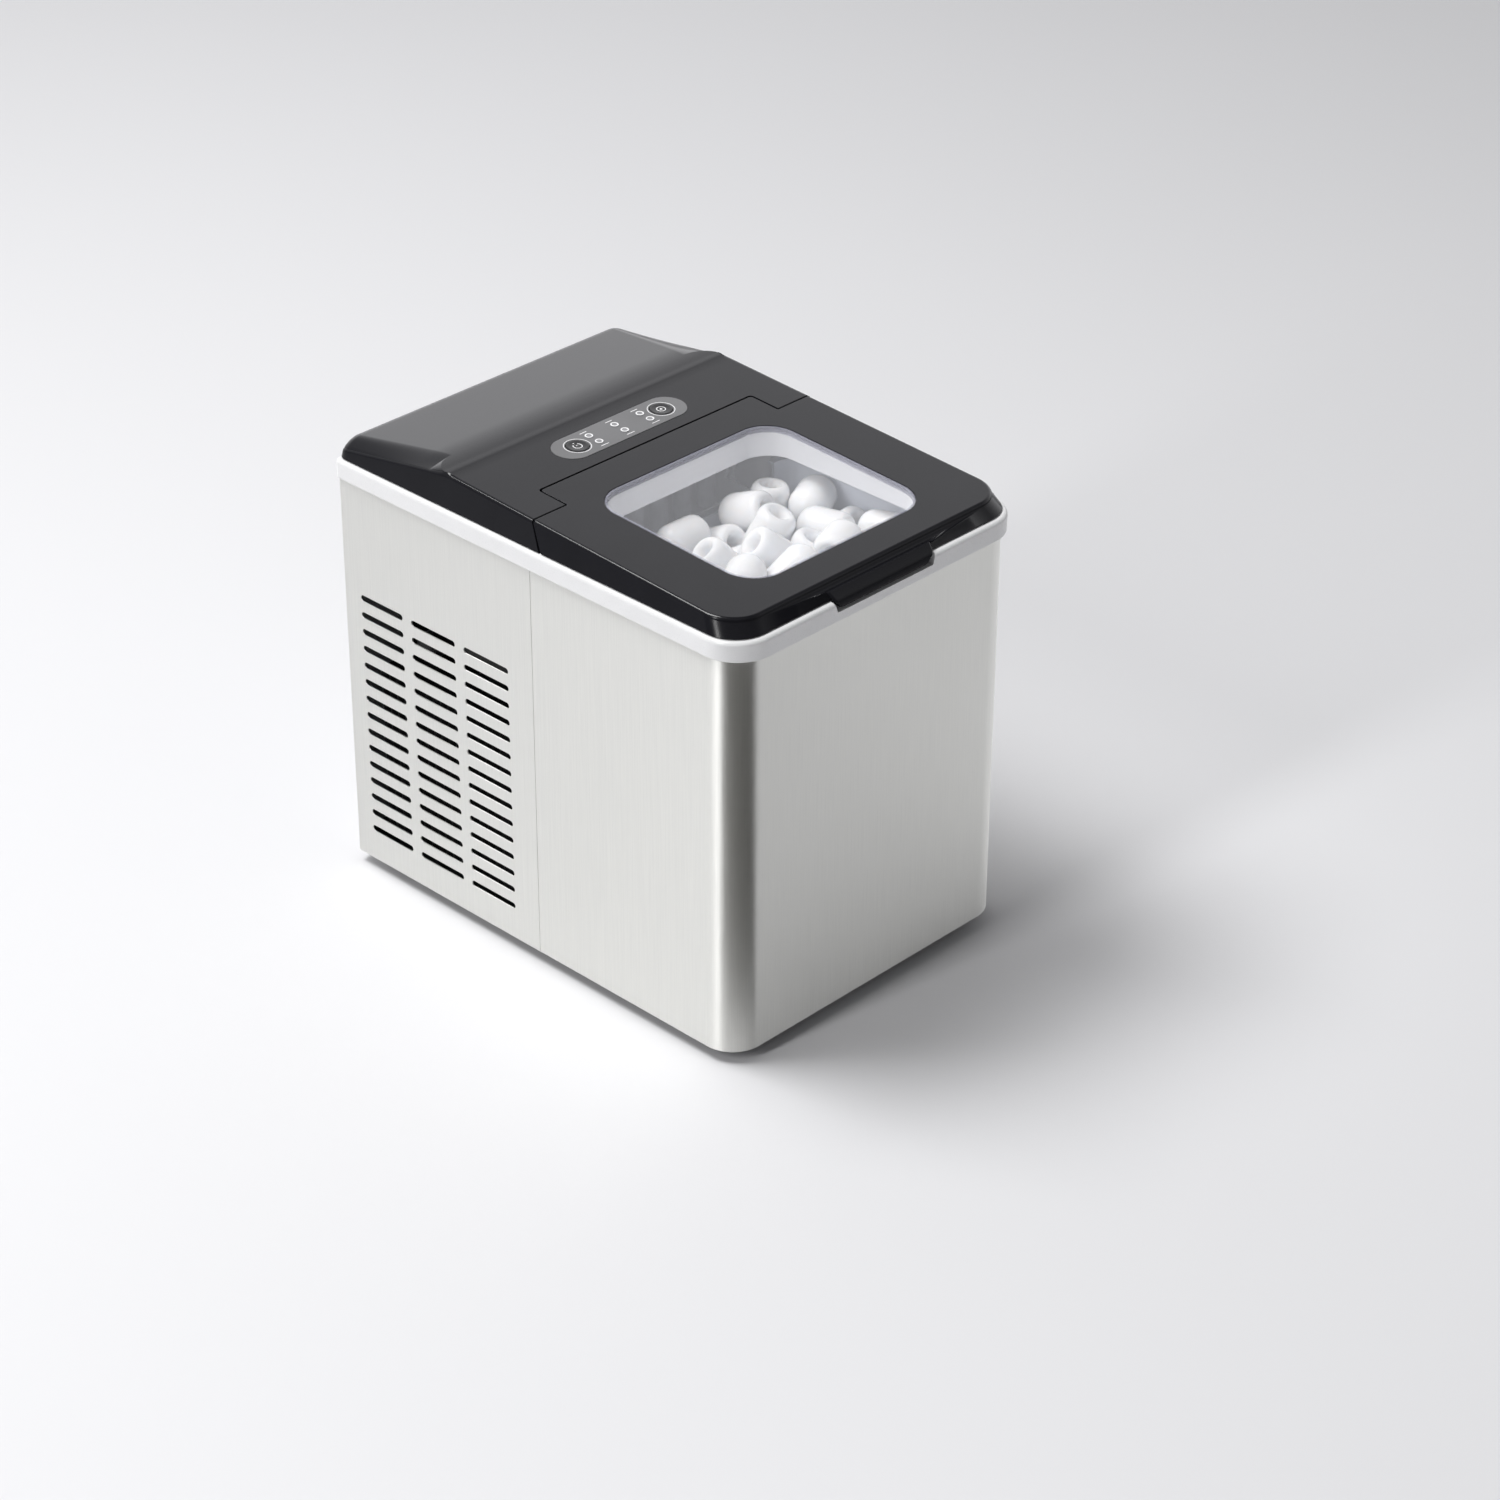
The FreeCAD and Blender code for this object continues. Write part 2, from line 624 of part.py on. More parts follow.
def lid_frame():
    """Black lid: skin, sloping sides, grip, and a tab with the hinge knuckles."""
    outer = covers_form()
    hollow = covers_form(WALL, WALL).fuse(box((-118, 118), (-166, 0), (200, COVER_LOW + 1)))
    gone = seam_cutter(LID_GAP)
    gone_inner = seam_cutter(LID_GAP + WALL)
    tab_under = box((-140, 140), (-3.0, 40), (200, ROOF_Z - 3.2))
    shell = outer.cut(gone)
    inner = hollow.cut(gone_inner).cut(box((-140, 140), (-5.5, 60), (0, 400)))
    shell = shell.cut(inner).cut(tab_under)
    shell = shell.cut(box((-200, 200), (-200, 200), (0, COVER_LOW)))
    grip = grip_recess(0.6).common(box((-60, 60), (-174.6, -167), (GRIP_LOW, 296)))
    shell = shell.fuse(grip)
    knuckle = rod(vec(79, HINGE_Y, HINGE_Z), X_AXIS, KNUCKLE_R, TAB_HALF - LID_GAP - 79)
    web = box((79, TAB_HALF - LID_GAP), (HINGE_Y - 2.5, HINGE_Y + 2.5), (HINGE_Z, 308))
    shell = shell.multiFuse([knuckle, mirrored(knuckle), web, mirrored(web)])
    bosses = []
    for x, y in lid_screw_places():
        under_skin = ROOF_Z + ROOF_RISE * y - 1.2
        foot = COLLAR_LOW + COLLAR_PLATE
        bosses.append(rod(vec(x, y, foot), Z_AXIS, 3.5, under_skin - foot))
    shell = shell.multiFuse(bosses)
    window = slab((-WINDOW_HALF, WINDOW_HALF), WINDOW_Y, WINDOW_R, (280, 330))
    shell = shell.cut(window)
    shell = shell.cut(rod(vec(-130, HINGE_Y, HINGE_Z), X_AXIS, PIN_R + PIN_CLEAR, 260))
    for x, y in lid_screw_places():
        shell = shell.cut(rod(vec(x, y, 280), Z_AXIS, 1.3, 18.0))
    return shell.removeSplitter()


def lid_window():
    """Clear pane, flush with the lid's skin."""
    edge = 0.15
    x = (-WINDOW_HALF + edge, WINDOW_HALF - edge)
    y = (WINDOW_Y[0] + edge, WINDOW_Y[1] - edge)
    pane = slab(x, y, WINDOW_R - edge, (280, 330))
    plate = on_roof(box((-90, 90), (-160, 10), (-WINDOW_T, 0)))
    return pane.common(plate)


def lid_inner_frame():
    """White lining of the lid: a collar below the pane and a plate around it."""
    x = (-WINDOW_HALF - 4.0, WINDOW_HALF + 4.0)
    y = (WINDOW_Y[0] - 4.0, -5.7)
    collar = slab(x, y, WINDOW_R + 2.0, (COLLAR_LOW, 320))
    collar = collar.common(on_roof(box((-150, 150), (-200, 40), (-80, -WINDOW_T))))
    plate_z = (COLLAR_LOW, COLLAR_LOW + COLLAR_PLATE)
    plate = slab((-109.5, 109.5), (-157.5, -3.6), (12, 12, 4, 4), plate_z)
    edge = 1.5
    hole_x = (-WINDOW_HALF + edge, WINDOW_HALF - edge)
    hole_y = (WINDOW_Y[0] + edge, WINDOW_Y[1] - edge)
    hole = slab(hole_x, hole_y, WINDOW_R - edge, (280, 330))
    body = collar.fuse(plate).cut(hole)
    for ear in ear_room():
        body = body.cut(ear)
    for px, py in lid_screw_places():
        body = body.cut(rod(vec(px, py, 280), Z_AXIS, 1.6, 20.0))
    return body.removeSplitter()


def ear_room():
    """Corners that the lining leaves free, so that it clears the rear cover's ears as the lid opens."""
    corner = box((88.0, 130.0), (-15.5, 30.0), (COLLAR_LOW - 5, 320.0))
    return (corner, mirrored(corner))


def lid_gasket():
    """Soft strip under the lining, around the front and sides of the bin's mouth."""
    z = (COLLAR_LOW - 1.1, COLLAR_LOW)
    outer = slab((-108.5, 108.5), (-156.5, -16.5), (11, 11, 1, 1), z)
    inner = slab((-104.5, 104.5), (-152.5, 10.0), (8, 8, 1, 1), z)
    return outer.cut(inner)


def lid_screws():
    under = COLLAR_LOW
    return group([screw(vec(x, y, under), Z_AXIS, 1.25, 9.0, 2.6, 1.2) for x, y in lid_screw_places()])


def hinge_pins():
    left = rod(vec(-98.0, HINGE_Y, HINGE_Z), X_AXIS, PIN_R, 18.0)
    return group([left, mirrored(left)])


# ---------------------------------------------------------------- bin
def liner_form(grow, high):
    """Room inside the liner, or its outside when grown by the wall."""
    deep = slab(
        (-BIN_HALF - grow, BIN_HALF + grow),
        (BIN_Y[0] - grow, BIN_Y[1] + grow),
        (12 + grow, 12 + grow, 3 + grow, 3 + grow),
        (BIN_FLOOR - grow, high),
    )
    low_edges = [e for e in deep.Edges if e.BoundBox.ZMax < BIN_FLOOR - grow + 0.1]
    deep = deep.makeFillet(2.5 + grow, low_edges)
    floor = [(0.0, SHELF_Z[0] - grow), (SHELF_REAR + grow, SHELF_Z[1] - grow)]
    walls = [(SHELF_REAR + grow, high), (0.0, high)]
    shelf = side_prism(floor + walls, (-SHELF_HALF - grow, SHELF_HALF + grow))
    return deep.fuse(shelf)


def bin_liner():
    """White one-piece lining: water reservoir and basket space, with a shelf behind."""
    outer = liner_form(LINER_T, LINER_TOP)
    flange_z = (RIM_LEDGE_Z, LINER_TOP)
    flange = slab((-LINER_FLANGE, LINER_FLANGE), (-159.8, 96.0), (14, 14, 4, 4), flange_z)
    inner = liner_form(0.0, LINER_TOP + 5)
    body = outer.fuse(flange).cut(inner)
    ledge = box((94.0, BIN_HALF + 1), (-140.0, 2.0), (LEDGE_Z - 5.0, LEDGE_Z))
    body = body.multiFuse([ledge, mirrored(ledge)])
    body = body.cut(rod(vec(-130, TRAY_Y, TRAY_Z), X_AXIS, SHAFT_R + PIN_CLEAR, 260))
    body = body.cut(rod(vec(DRAIN_X, 0, BIN_FLOOR + 8), Y_AXIS, 4.0, 30))
    body = body.cut(rod(vec(PUMP_X, 0, BIN_FLOOR + 8), Y_AXIS, 4.0, 30))
    body = body.cut(rod(vec(80, SPOUT_Y, SPOUT_Z), X_AXIS, 2.9, 25))
    return body.removeSplitter()


def bin_insulation():
    """Foam jacket around the deep part of the liner."""
    block = slab((-FOAM_HALF, FOAM_HALF), FOAM_Y, (18, 18, 3, 3), FOAM_Z)
    above_shelf = box((-130, 130), (BIN_Y[1] + LINER_T, 60), (SHELF_Z[0] - LINER_T, 300))
    block = block.cut(above_shelf).cut(liner_form(LINER_T, 300.0))
    block = block.cut(rod(vec(DRAIN_X, 0, BIN_FLOOR + 8), Y_AXIS, 6.0, 40))
    return block.cut(rod(vec(PUMP_X, 0, BIN_FLOOR + 8), Y_AXIS, 6.0, 40))


def partition_panel():
    """Steel bulkhead between the foam and the cooling parts."""
    plate = box((-116, 116), (22.2, 23.2), (10.5, 168.0))
    foot = box((-116, 116), (23.2, 30.0), (10.5, 11.5))
    plate = fuse([plate, foot])
    plate = plate.cut(rod(vec(DRAIN_X, 0, BIN_FLOOR + 8), Y_AXIS, 6.0, 40))
    return plate.cut(rod(vec(PUMP_X, 0, BIN_FLOOR + 8), Y_AXIS, 6.0, 40))


def basket_form(grow, low, high):
    """Tapered tub with rounded corners."""
    taper = BASKET_TAPER
    bottom = outline(
        (-BASKET_HALF + taper - grow, BASKET_HALF - taper + grow),
        (BASKET_Y[0] + taper - grow, BASKET_Y[1] - taper + grow),
        (14 + grow,) * 4,
        low,
    )
    top = outline(
        (-BASKET_HALF - grow, BASKET_HALF + grow),
        (BASKET_Y[0] - grow, BASKET_Y[1] + grow),
        (16 + grow,) * 4,
        high,
    )
    return Part.makeLoft([bottom, top], True, True)


def ice_basket():
    """Slotted basket that stands on the liner's ledges."""
    outer = basket_form(0.0, BASKET_LOW, BASKET_TOP)
    inner = basket_form(-BASKET_T, BASKET_LOW, BASKET_TOP)
    inner = inner.cut(box((-150, 150), (-200, 50), (BASKET_LOW - 1, BASKET_LOW + BASKET_T)))
    lip_x = (-BASKET_HALF - 3, BASKET_HALF + 3)
    lip_y = (BASKET_Y[0] - 3, BASKET_Y[1] + 3)
    lip = slab(lip_x, lip_y, 18, (BASKET_TOP - 2.0, BASKET_TOP))
    body = outer.fuse(lip).cut(inner)
    body = body.cut(box((-82, 82), (BASKET_Y[1] - 8, BASKET_Y[1] + 8), (BASKET_TOP - 16, BASKET_TOP + 1)))
    cutters = []
    for column in range(7):
        x = (column - 3) * 24.0
        for row in range(5):
            y = (BASKET_Y[0] + BASKET_Y[1]) / 2 + (row - 2) * 25.0
            cutters.append(slab((x - 7, x + 7), (y - 2.5, y + 2.5), 2.49, (BASKET_LOW - 2, BASKET_LOW + 4)))
    for column in range(7):
        x = (column - 3) * 24.0
        for z in (190.0, 222.0):
            cutters.append(box((x - 2.5, x + 2.5), (-200, 100), (z, z + 24)))
    for column in range(5):
        y = (BASKET_Y[0] + BASKET_Y[1]) / 2 + (column - 2) * 25.0
        for z in (190.0, 222.0):
            cutters.append(box((-150, 150), (y - 2.5, y + 2.5), (z, z + 24)))
    return body.cut(Part.makeCompound(cutters)).removeSplitter()


# ---------------------------------------------------------------- ice-making parts
def evaporator():
    """Chilled copper tube with the fingers that the ice grows on, and its two risers."""
    reach = FINGER_PITCH * (FINGERS - 1) / 2 + 4.0
    path = [
        (-reach, 38.0, 296.0),
        (-reach, 38.0, 284.0),
        (-reach, TRAY_Y, COIL_Z),
        (reach, TRAY_Y, COIL_Z),
        (reach, 38.0, 284.0),
        (reach, 38.0, 296.0),
    ]
    pieces = [pipe(path, COIL_R, 8.0)]
    for i in range(FINGERS):
        x = (i - (FINGERS - 1) / 2) * FINGER_PITCH
        stem = rod(vec(x, TRAY_Y, FINGER_TIP + FINGER_R), Z_AXIS, FINGER_R, COIL_Z - FINGER_TIP - FINGER_R)
        tip = Part.makeSphere(FINGER_R, vec(x, TRAY_Y, FINGER_TIP + FINGER_R))
        pieces.append(fuse([stem, tip]))
    return pieces[0].multiFuse(pieces[1:])


def evaporator_bracket():
    """Moulded beam that hangs the evaporator from the liner's side walls."""
    beam = box((-SHELF_HALF, SHELF_HALF), (26.0, 43.5), (281.2, 284.2))
    beam = beam.fuse(box((-SHELF_HALF, SHELF_HALF), (26.0, 28.0), (276.0, 281.2)))
    for x in (-42.0, 0.0, 42.0):
        beam = beam.fuse(box((x - 4, x + 4), (36.0, 43.5), (COIL_Z, 281.2)))
    beam = beam.cut(rod(vec(-90, TRAY_Y, COIL_Z), X_AXIS, COIL_R, 180))
    reach = FINGER_PITCH * (FINGERS - 1) / 2 + 4.0
    for x in (-reach, reach):
        beam = beam.cut(rod(vec(x, 38.0, 262), Z_AXIS, COIL_R + 1.2, 40))
        beam = beam.cut(box((x - 8, x + 8), (37, 50), (262, 290)))
    return beam.removeSplitter()


def water_tray():
    """Trough that holds the water around the fingers and swings away behind them."""
    outer = rod(vec(-TRAY_HALF - TRAY_T, TRAY_Y, TRAY_Z), X_AXIS, TRAY_R + TRAY_T, 2 * (TRAY_HALF + TRAY_T))
    inner = rod(vec(-TRAY_HALF, TRAY_Y, TRAY_Z), X_AXIS, TRAY_R, 2 * TRAY_HALF)
    drum = outer.cut(inner)
    edge = TRAY_R * math.sin(math.radians(TRAY_OPEN))
    above = box((-120, 120), (0, 100), (TRAY_Z - edge, 300))
    trough = drum.cut(above)
    hub = rod(vec(TRAY_HALF, TRAY_Y, TRAY_Z), X_AXIS, 6.0, TRAY_T)
    trough = trough.multiFuse([hub, mirrored(hub)])
    trough = trough.cut(rod(vec(-120, TRAY_Y, TRAY_Z), X_AXIS, SHAFT_R, 240))
    return trough.removeSplitter()


def tray_shafts():
    """Stub shafts at the two ends of the trough; the right one is the motor's."""
    left = rod(vec(-SHELF_HALF - LINER_T - 1, TRAY_Y, TRAY_Z), X_AXIS, SHAFT_R, 15.0)
    right = rod(vec(TRAY_HALF, TRAY_Y, TRAY_Z), X_AXIS, SHAFT_R, 22.0)
    return group([left, right])


def ice_shovel():
    """Comb under the trough that pushes the fallen ice forwards into the basket."""
    mid_z = TRAY_Z - sum(SHOVEL_R) / 2
    half = (SHOVEL_R[1] - SHOVEL_R[0]) / 2
    blade = box((-SHOVEL_ARM_X[1], SHOVEL_ARM_X[1]), (TRAY_Y - 1.2, TRAY_Y + 1.2), (mid_z - half, mid_z + half))
    for i in range(FINGERS + 1):
        x = (i - FINGERS / 2) * FINGER_PITCH
        blade = blade.cut(box((x - 3, x + 3), (0, 100), (mid_z - half - 1, mid_z - half + 16)))
    arms = []
    for side in (-1, 1):
        x0 = min(side * SHOVEL_ARM_X[0], side * SHOVEL_ARM_X[1])
        x1 = max(side * SHOVEL_ARM_X[0], side * SHOVEL_ARM_X[1])
        arms.append(box((x0, x1), (TRAY_Y - 4, TRAY_Y + 4), (mid_z - half + 8, TRAY_Z)))
        arms.append(rod(vec(x0, TRAY_Y, TRAY_Z), X_AXIS, 7.0, x1 - x0))
    body = fuse([blade] + arms)
    body = body.cut(rod(vec(-120, TRAY_Y, TRAY_Z), X_AXIS, SHAFT_R + PIN_CLEAR, 240))
    body.rotate(vec(0, TRAY_Y, TRAY_Z), X_AXIS, SHOVEL_REST)
    return body


def tray_motor():
    """Flat gear motor on the outside of the liner's right wall."""
    face = SHELF_HALF + LINER_T
    can = rod(vec(face, TRAY_Y, TRAY_Z - 4), X_AXIS, 20.0, 14.0)
    ears = box((face, face + 1.2), (TRAY_Y - 27, TRAY_Y + 27), (TRAY_Z - 10, TRAY_Z + 2))
    lead = box((face + 2, face + 10), (TRAY_Y - 6, TRAY_Y + 6), (TRAY_Z - 28, TRAY_Z - 22))
    body = fuse([can, ears, lead])
    return body.cut(rod(vec(face - 1, TRAY_Y, TRAY_Z), X_AXIS, SHAFT_R + PIN_CLEAR, 9.5))


def fill_spout():
    """Nozzle that pours the pumped water into the trough."""
    path = [(88, SPOUT_Y, SPOUT_Z), (SPOUT_X, SPOUT_Y, SPOUT_Z), (SPOUT_X, SPOUT_Y, SPOUT_Z - 10)]
    nose = box((82, 92), (SPOUT_Y - NOSE_REACH, SPOUT_Y + 4), (SPOUT_Z - 4, SPOUT_Z + 4))
    return fuse([nose, pipe(path, 2.9, 4.5)])


def ice_sensors():
    """Two infra-red eyes on the bin's side walls that see when the basket is full."""
    left = box((-BIN_HALF, -BIN_HALF + 2.0), (-70, -54), (277.0, 283.0))
    return group([left, mirrored(left)])


def level_probes():
    """Two steel pins that feel the water level in the reservoir."""
    pins = []
    for x in (-8.0, 8.0):
        pins.append(rod(vec(x, BIN_Y[1] - 6.0, 90), Y_AXIS, 1.5, 6.0))
        pins.append(rod(vec(x, BIN_Y[1] - 2.0, 90), Y_AXIS, 3.0, 2.0))
    return group([fuse(pins[0:2]), fuse(pins[2:4])])


# ---------------------------------------------------------------- water parts
def water_pump():
    """Pump that lifts water from the reservoir to the trough."""
    body = slab((PUMP_X - 16, PUMP_X + 16), (PUMP_Y - 14, PUMP_Y + 14), 4, (11.5, 46.0))
    inlet = rod(vec(PUMP_X, PUMP_Y - 7, 44), Z_AXIS, 3.5, 10)
    outlet = rod(vec(PUMP_X, PUMP_Y + 7, 44), Z_AXIS, 3.5, 10)
    chamber = rod(vec(PUMP_X, PUMP_Y, 18), Z_AXIS, 12.0, 10)
    return fuse([body, inlet, outlet]).cut(chamber)


def pump_impeller():
    hub = rod(vec(PUMP_X, PUMP_Y, 18.5), Z_AXIS, 3.0, 9.0)
    blades = [hub]
    for i in range(6):
        blade = box((0, 10.5), (-0.6, 0.6), (19.0, 26.5))
        blade.rotate(vec(0, 0, 0), Z_AXIS, i * 60)
        blade.translate(vec(PUMP_X, PUMP_Y, 0))
        blades.append(blade)
    return fuse(blades)


def pump_hoses():
    """Suction hose from the reservoir, and delivery hose up to the spout."""
    port_z = BIN_FLOOR + 8
    inlet_y = PUMP_Y - 7
    suction = pipe([(PUMP_X, BIN_Y[1], port_z), (PUMP_X, inlet_y, port_z), (PUMP_X, inlet_y, 54)], 3.5, 8.0)
    delivery = [
        (PUMP_X, PUMP_Y + 7, 54),
        (PUMP_X, PUMP_Y + 7, 120),
        (SPOUT_X, SPOUT_Y, 165),
        (SPOUT_X, SPOUT_Y, SPOUT_Z - 10),
    ]
    return group([suction, pipe(delivery, 3.5, 14.0)])


def drain_hose():
    path = [(DRAIN_X, 14, 66), (DRAIN_X, 60, 66), (DRAIN_X, 110, DRAIN_Z), (DRAIN_X, 150, DRAIN_Z)]
    return pipe(path, 4.0, 20.0)


def drain_spout():
    """Threaded outlet at the back, with a flange against the rear panel."""
    body = rod(vec(DRAIN_X, 150, DRAIN_Z), Y_AXIS, 7.0, 20)
    flange = rod(vec(DRAIN_X, 155, DRAIN_Z), Y_AXIS, 17.0, 3)
    return fuse([body, flange]).cut(rod(vec(DRAIN_X, 149, DRAIN_Z), Y_AXIS, 4.0, 30))


def drain_cap():
    """Round screw cap with a grip bar."""
    cap = rod(vec(DRAIN_X, 158.6, DRAIN_Z), Y_AXIS, 12.0, 13.4)
    cap = cap.cut(rod(vec(DRAIN_X, 158, DRAIN_Z), Y_AXIS, 7.0 + PIN_CLEAR, 12.6))
    bar = box((DRAIN_X - 10, DRAIN_X + 10), (171.0, STANDOFF_Y), (DRAIN_Z - 2, DRAIN_Z + 2))
    return fuse([cap, bar])


# ---------------------------------------------------------------- cooling parts
def compressor_base():
    plate = slab((COMP_X - 62, COMP_X + 62), (COMP_Y - 40, COMP_Y + 40), 10, (20.0, 22.0))
    for x, y in grommet_places():
        plate = plate.cut(rod(vec(x, y, 10), Z_AXIS, 5.0, 20))
    return plate


def grommet_places():
    return [(COMP_X + dx, COMP_Y + dy) for dx in (-52.0, 52.0) for dy in (-30.0, 30.0)]


def compressor_grommets():
    grommets = []
    for x, y in grommet_places():
        low = rod(vec(x, y, 10.5), Z_AXIS, 7.5, 9.5)
        neck = rod(vec(x, y, 20.0), Z_AXIS, 5.0, 2.0)
        high = rod(vec(x, y, 22.0), Z_AXIS, 7.5, 3.0)
        grommets.append(fuse([low, neck, high]))
    return group(grommets)


def compressor():
    """Welded steel pot, partly hollow inside as the real one is around its motor."""
    pot = rod(vec(COMP_X, COMP_Y, 22.0), Z_AXIS, COMP_R, COMP_Z[1] - 22.0)
    pot = pot.makeFillet(22.0, [e for e in pot.Edges if e.BoundBox.ZMin > COMP_Z[1] - 0.1])
    pot = pot.makeFillet(8.0, [e for e in pot.Edges if e.BoundBox.ZMax < 22.1 and e.BoundBox.XLength > 80])
    band = rod(vec(COMP_X, COMP_Y, 84.0), Z_AXIS, COMP_R + 2.0, 4.0)
    hollow = rod(vec(COMP_X, COMP_Y, 40.0), Z_AXIS, 35.0, 76.0)
    return fuse([pot, band]).cut(hollow)


def terminal_cover():
    """Box over the compressor's terminals, relay and overload switch."""
    block = slab((COMP_X - 20, COMP_X + 20), (COMP_Y + 40, COMP_Y + 64), 4, (52, 82))
    return block.cut(rod(vec(COMP_X, COMP_Y, 20), Z_AXIS, COMP_R, 120))


def condenser_fins():
    """Stack of thin plates, each pierced by the tube rows."""
    plates = []
    for i in range(COND_FINS):
        y = COND_Y[0] + 6 + i * (COND_Y[1] - COND_Y[0] - 12) / (COND_FINS - 1)
        plate = box(COND_X, (y - 0.4, y + 0.4), COND_Z)
        for z in condenser_rows():
            plate = plate.cut(rod(vec(sum(COND_X) / 2, y - 2, z), Y_AXIS, COND_TUBE_R, 4))
        plates.append(plate)
    return group(plates)


def condenser_rows():
    pitch = (COND_Z[1] - COND_Z[0]) / COND_ROWS
    return [COND_Z[0] + pitch * (i + 0.5) for i in range(COND_ROWS)]


def condenser_tube():
    """One tube that runs to and fro through the fins."""
    x = sum(COND_X) / 2
    front = COND_Y[0] - 4.0
    rear = COND_Y[1] + 8.0
    points = []
    for i, z in enumerate(condenser_rows()):
        ends = (front, rear) if i % 2 == 0 else (rear, front)
        points += [(x, ends[0], z), (x, ends[1], z)]
    points[0] = (x, COND_Y[0] + 1.0, points[0][2])
    points[-1] = (x, COND_Y[0] + 1.0, points[-1][2])
    return pipe(points, COND_TUBE_R, 8.0)


def fan_shroud():
    """Plate with a round duct behind the condenser."""
    plate = box((-79.5, -77.5), (36, 148), (28, 148))
    ring = rod(vec(-79.5, FAN_Y, FAN_Z), X_AXIS, FAN_R + 5.0, 20)
    bore = rod(vec(-90, FAN_Y, FAN_Z), X_AXIS, FAN_R + 2.5, 60)
    arms = []
    for dz in (-1, 1):
        z = FAN_Z + dz * (FAN_R + 1)
        arms.append(box((-60, -50.5), (FAN_Y - 4, FAN_Y + 4), (min(z, FAN_Z + dz * 56), max(z, FAN_Z + dz * 56))))
        low = min(FAN_Z + dz * 18, FAN_Z + dz * 53)
        high = max(FAN_Z + dz * 18, FAN_Z + dz * 53)
        arms.append(box((-53.5, -50.5), (FAN_Y - 4, FAN_Y + 4), (low, high)))
    feet = box((-79.5, -62.0), (36, 148), (22, 28))
    body = fuse([plate, ring, feet]).cut(bore)
    return body.multiFuse(arms).removeSplitter()


def fan_motor():
    can = rod(vec(-53.5, FAN_Y, FAN_Z), X_AXIS, 18.0, 21.5)
    back = [e for e in can.Edges if e.BoundBox.XMin > -32.5]
    can = can.makeFillet(3.0, back)
    return can.cut(rod(vec(-54, FAN_Y, FAN_Z), X_AXIS, 2.05, 12.0))


def fan_blade():
    """Five-bladed fan with its own short axle."""
    hub = rod(vec(FAN_X[0], FAN_Y, FAN_Z), X_AXIS, 14.0, FAN_X[1] - FAN_X[0])
    axle = rod(vec(FAN_X[1], FAN_Y, FAN_Z), X_AXIS, 2.0, 11.0)
    pieces = [hub, axle]
    for i in range(5):
        blade = box((-0.8, 0.8), (-11, 11), (12, FAN_R))
        blade.rotate(vec(0, 0, 0), Z_AXIS, 32)
        blade.translate(vec(sum(FAN_X) / 2, 0, 0))
        blade.rotate(vec(0, 0, 0), X_AXIS, i * 72)
        blade.translate(vec(0, FAN_Y, FAN_Z))
        pieces.append(blade)
    body = fuse(pieces)
    keep = rod(vec(FAN_X[0], FAN_Y, FAN_Z), X_AXIS, FAN_R, FAN_X[1] - FAN_X[0])
    return body.common(keep.fuse(axle))


def filter_drier():
    pot = rod(vec(-60, 120, 168), -X_AXIS, 9.0, 0.001 + 40.0)
    ends = [e for e in pot.Edges if e.BoundBox.XLength < 0.1]
    return pot.makeFillet(4.0, ends)


def hot_gas_valve():
    """Solenoid valve that sends warm gas to the fingers to free the ice."""
    coil = slab((-12, 12), (106, 128), 3, (142, 164))
    stem = rod(vec(0, 117, 164), Z_AXIS, 5.0, 12)
    return fuse([coil, stem])


def refrigerant_lines():
    """Copper lines between compressor, condenser, drier, valve and evaporator."""
    reach = FINGER_PITCH * (FINGERS - 1) / 2 + 4.0
    cond_x = sum(COND_X) / 2
    rows = condenser_rows()
    suction = [
        (reach, 38, 296.2),
        (reach, 38, 299),
        (reach, 108, 299),
        (reach, 108, 190),
        (COMP_X + 20, 108, 160),
        (COMP_X + 20, 108, COMP_Z[1]),
    ]
    feed = [
        (-reach, 38, 296.2),
        (-reach, 38, 299),
        (-reach, 106, 299),
        (-reach, 106, 190),
        (-30, 108, 178),
        (0, 117, 186),
        (0, 117, 176.2),
    ]
    return group([pipe(suction, 3.0, 8.0), pipe(feed, 2.5, 8.0)])


# ---------------------------------------------------------------- electronics
def board_bracket():
    """Steel plate on the liner's rear wall that carries the main board."""
    face = SHELF_REAR + LINER_T
    plate = box((-62, 62), (face, face + 1.2), (190, 266))
    posts = []
    for x in (-54.0, 54.0):
        for z in (198.0, 258.0):
            post = rod(vec(x, face + 1.2, z), Y_AXIS, 3.0, 6.8)
            posts.append(post.cut(rod(vec(x, face + 3, z), Y_AXIS, 1.25, 10)))
    return fuse([plate] + posts)


def main_board():
    """Power and logic board with relays, transformer and capacitors."""
    low = SHELF_REAR + LINER_T + 8.0
    board = box((-58, 58), (low, low + 1.6), (194, 262))
    top = low + 1.6
    pieces = [board]
    pieces.append(box((-52, -24), (top, top + 18), (204, 228)))
    for i in range(3):
        pieces.append(box((-14 + i * 22, 3 + i * 22), (top, top + 15), (200, 215)))
    for i in range(4):
        pieces.append(rod(vec(-12 + i * 14, top, 236), Y_AXIS, 4.5, 12))
    for i in range(5):
        pieces.append(box((-48 + i * 18, -36 + i * 18), (top, top + 8), (250, 257)))
    body = fuse(pieces)
    for x in (-54.0, 54.0):
        for z in (198.0, 258.0):
            body = body.cut(rod(vec(x, low - 1, z), Y_AXIS, 1.4, 4))
    return body


def board_screws():
    low = SHELF_REAR + LINER_T + 9.6
    places = [(x, z) for x in (-54.0, 54.0) for z in (198.0, 258.0)]
    return group([screw(vec(x, low, z), -Y_AXIS, 1.25, 6.0, 2.6, 1.6) for x, z in places])


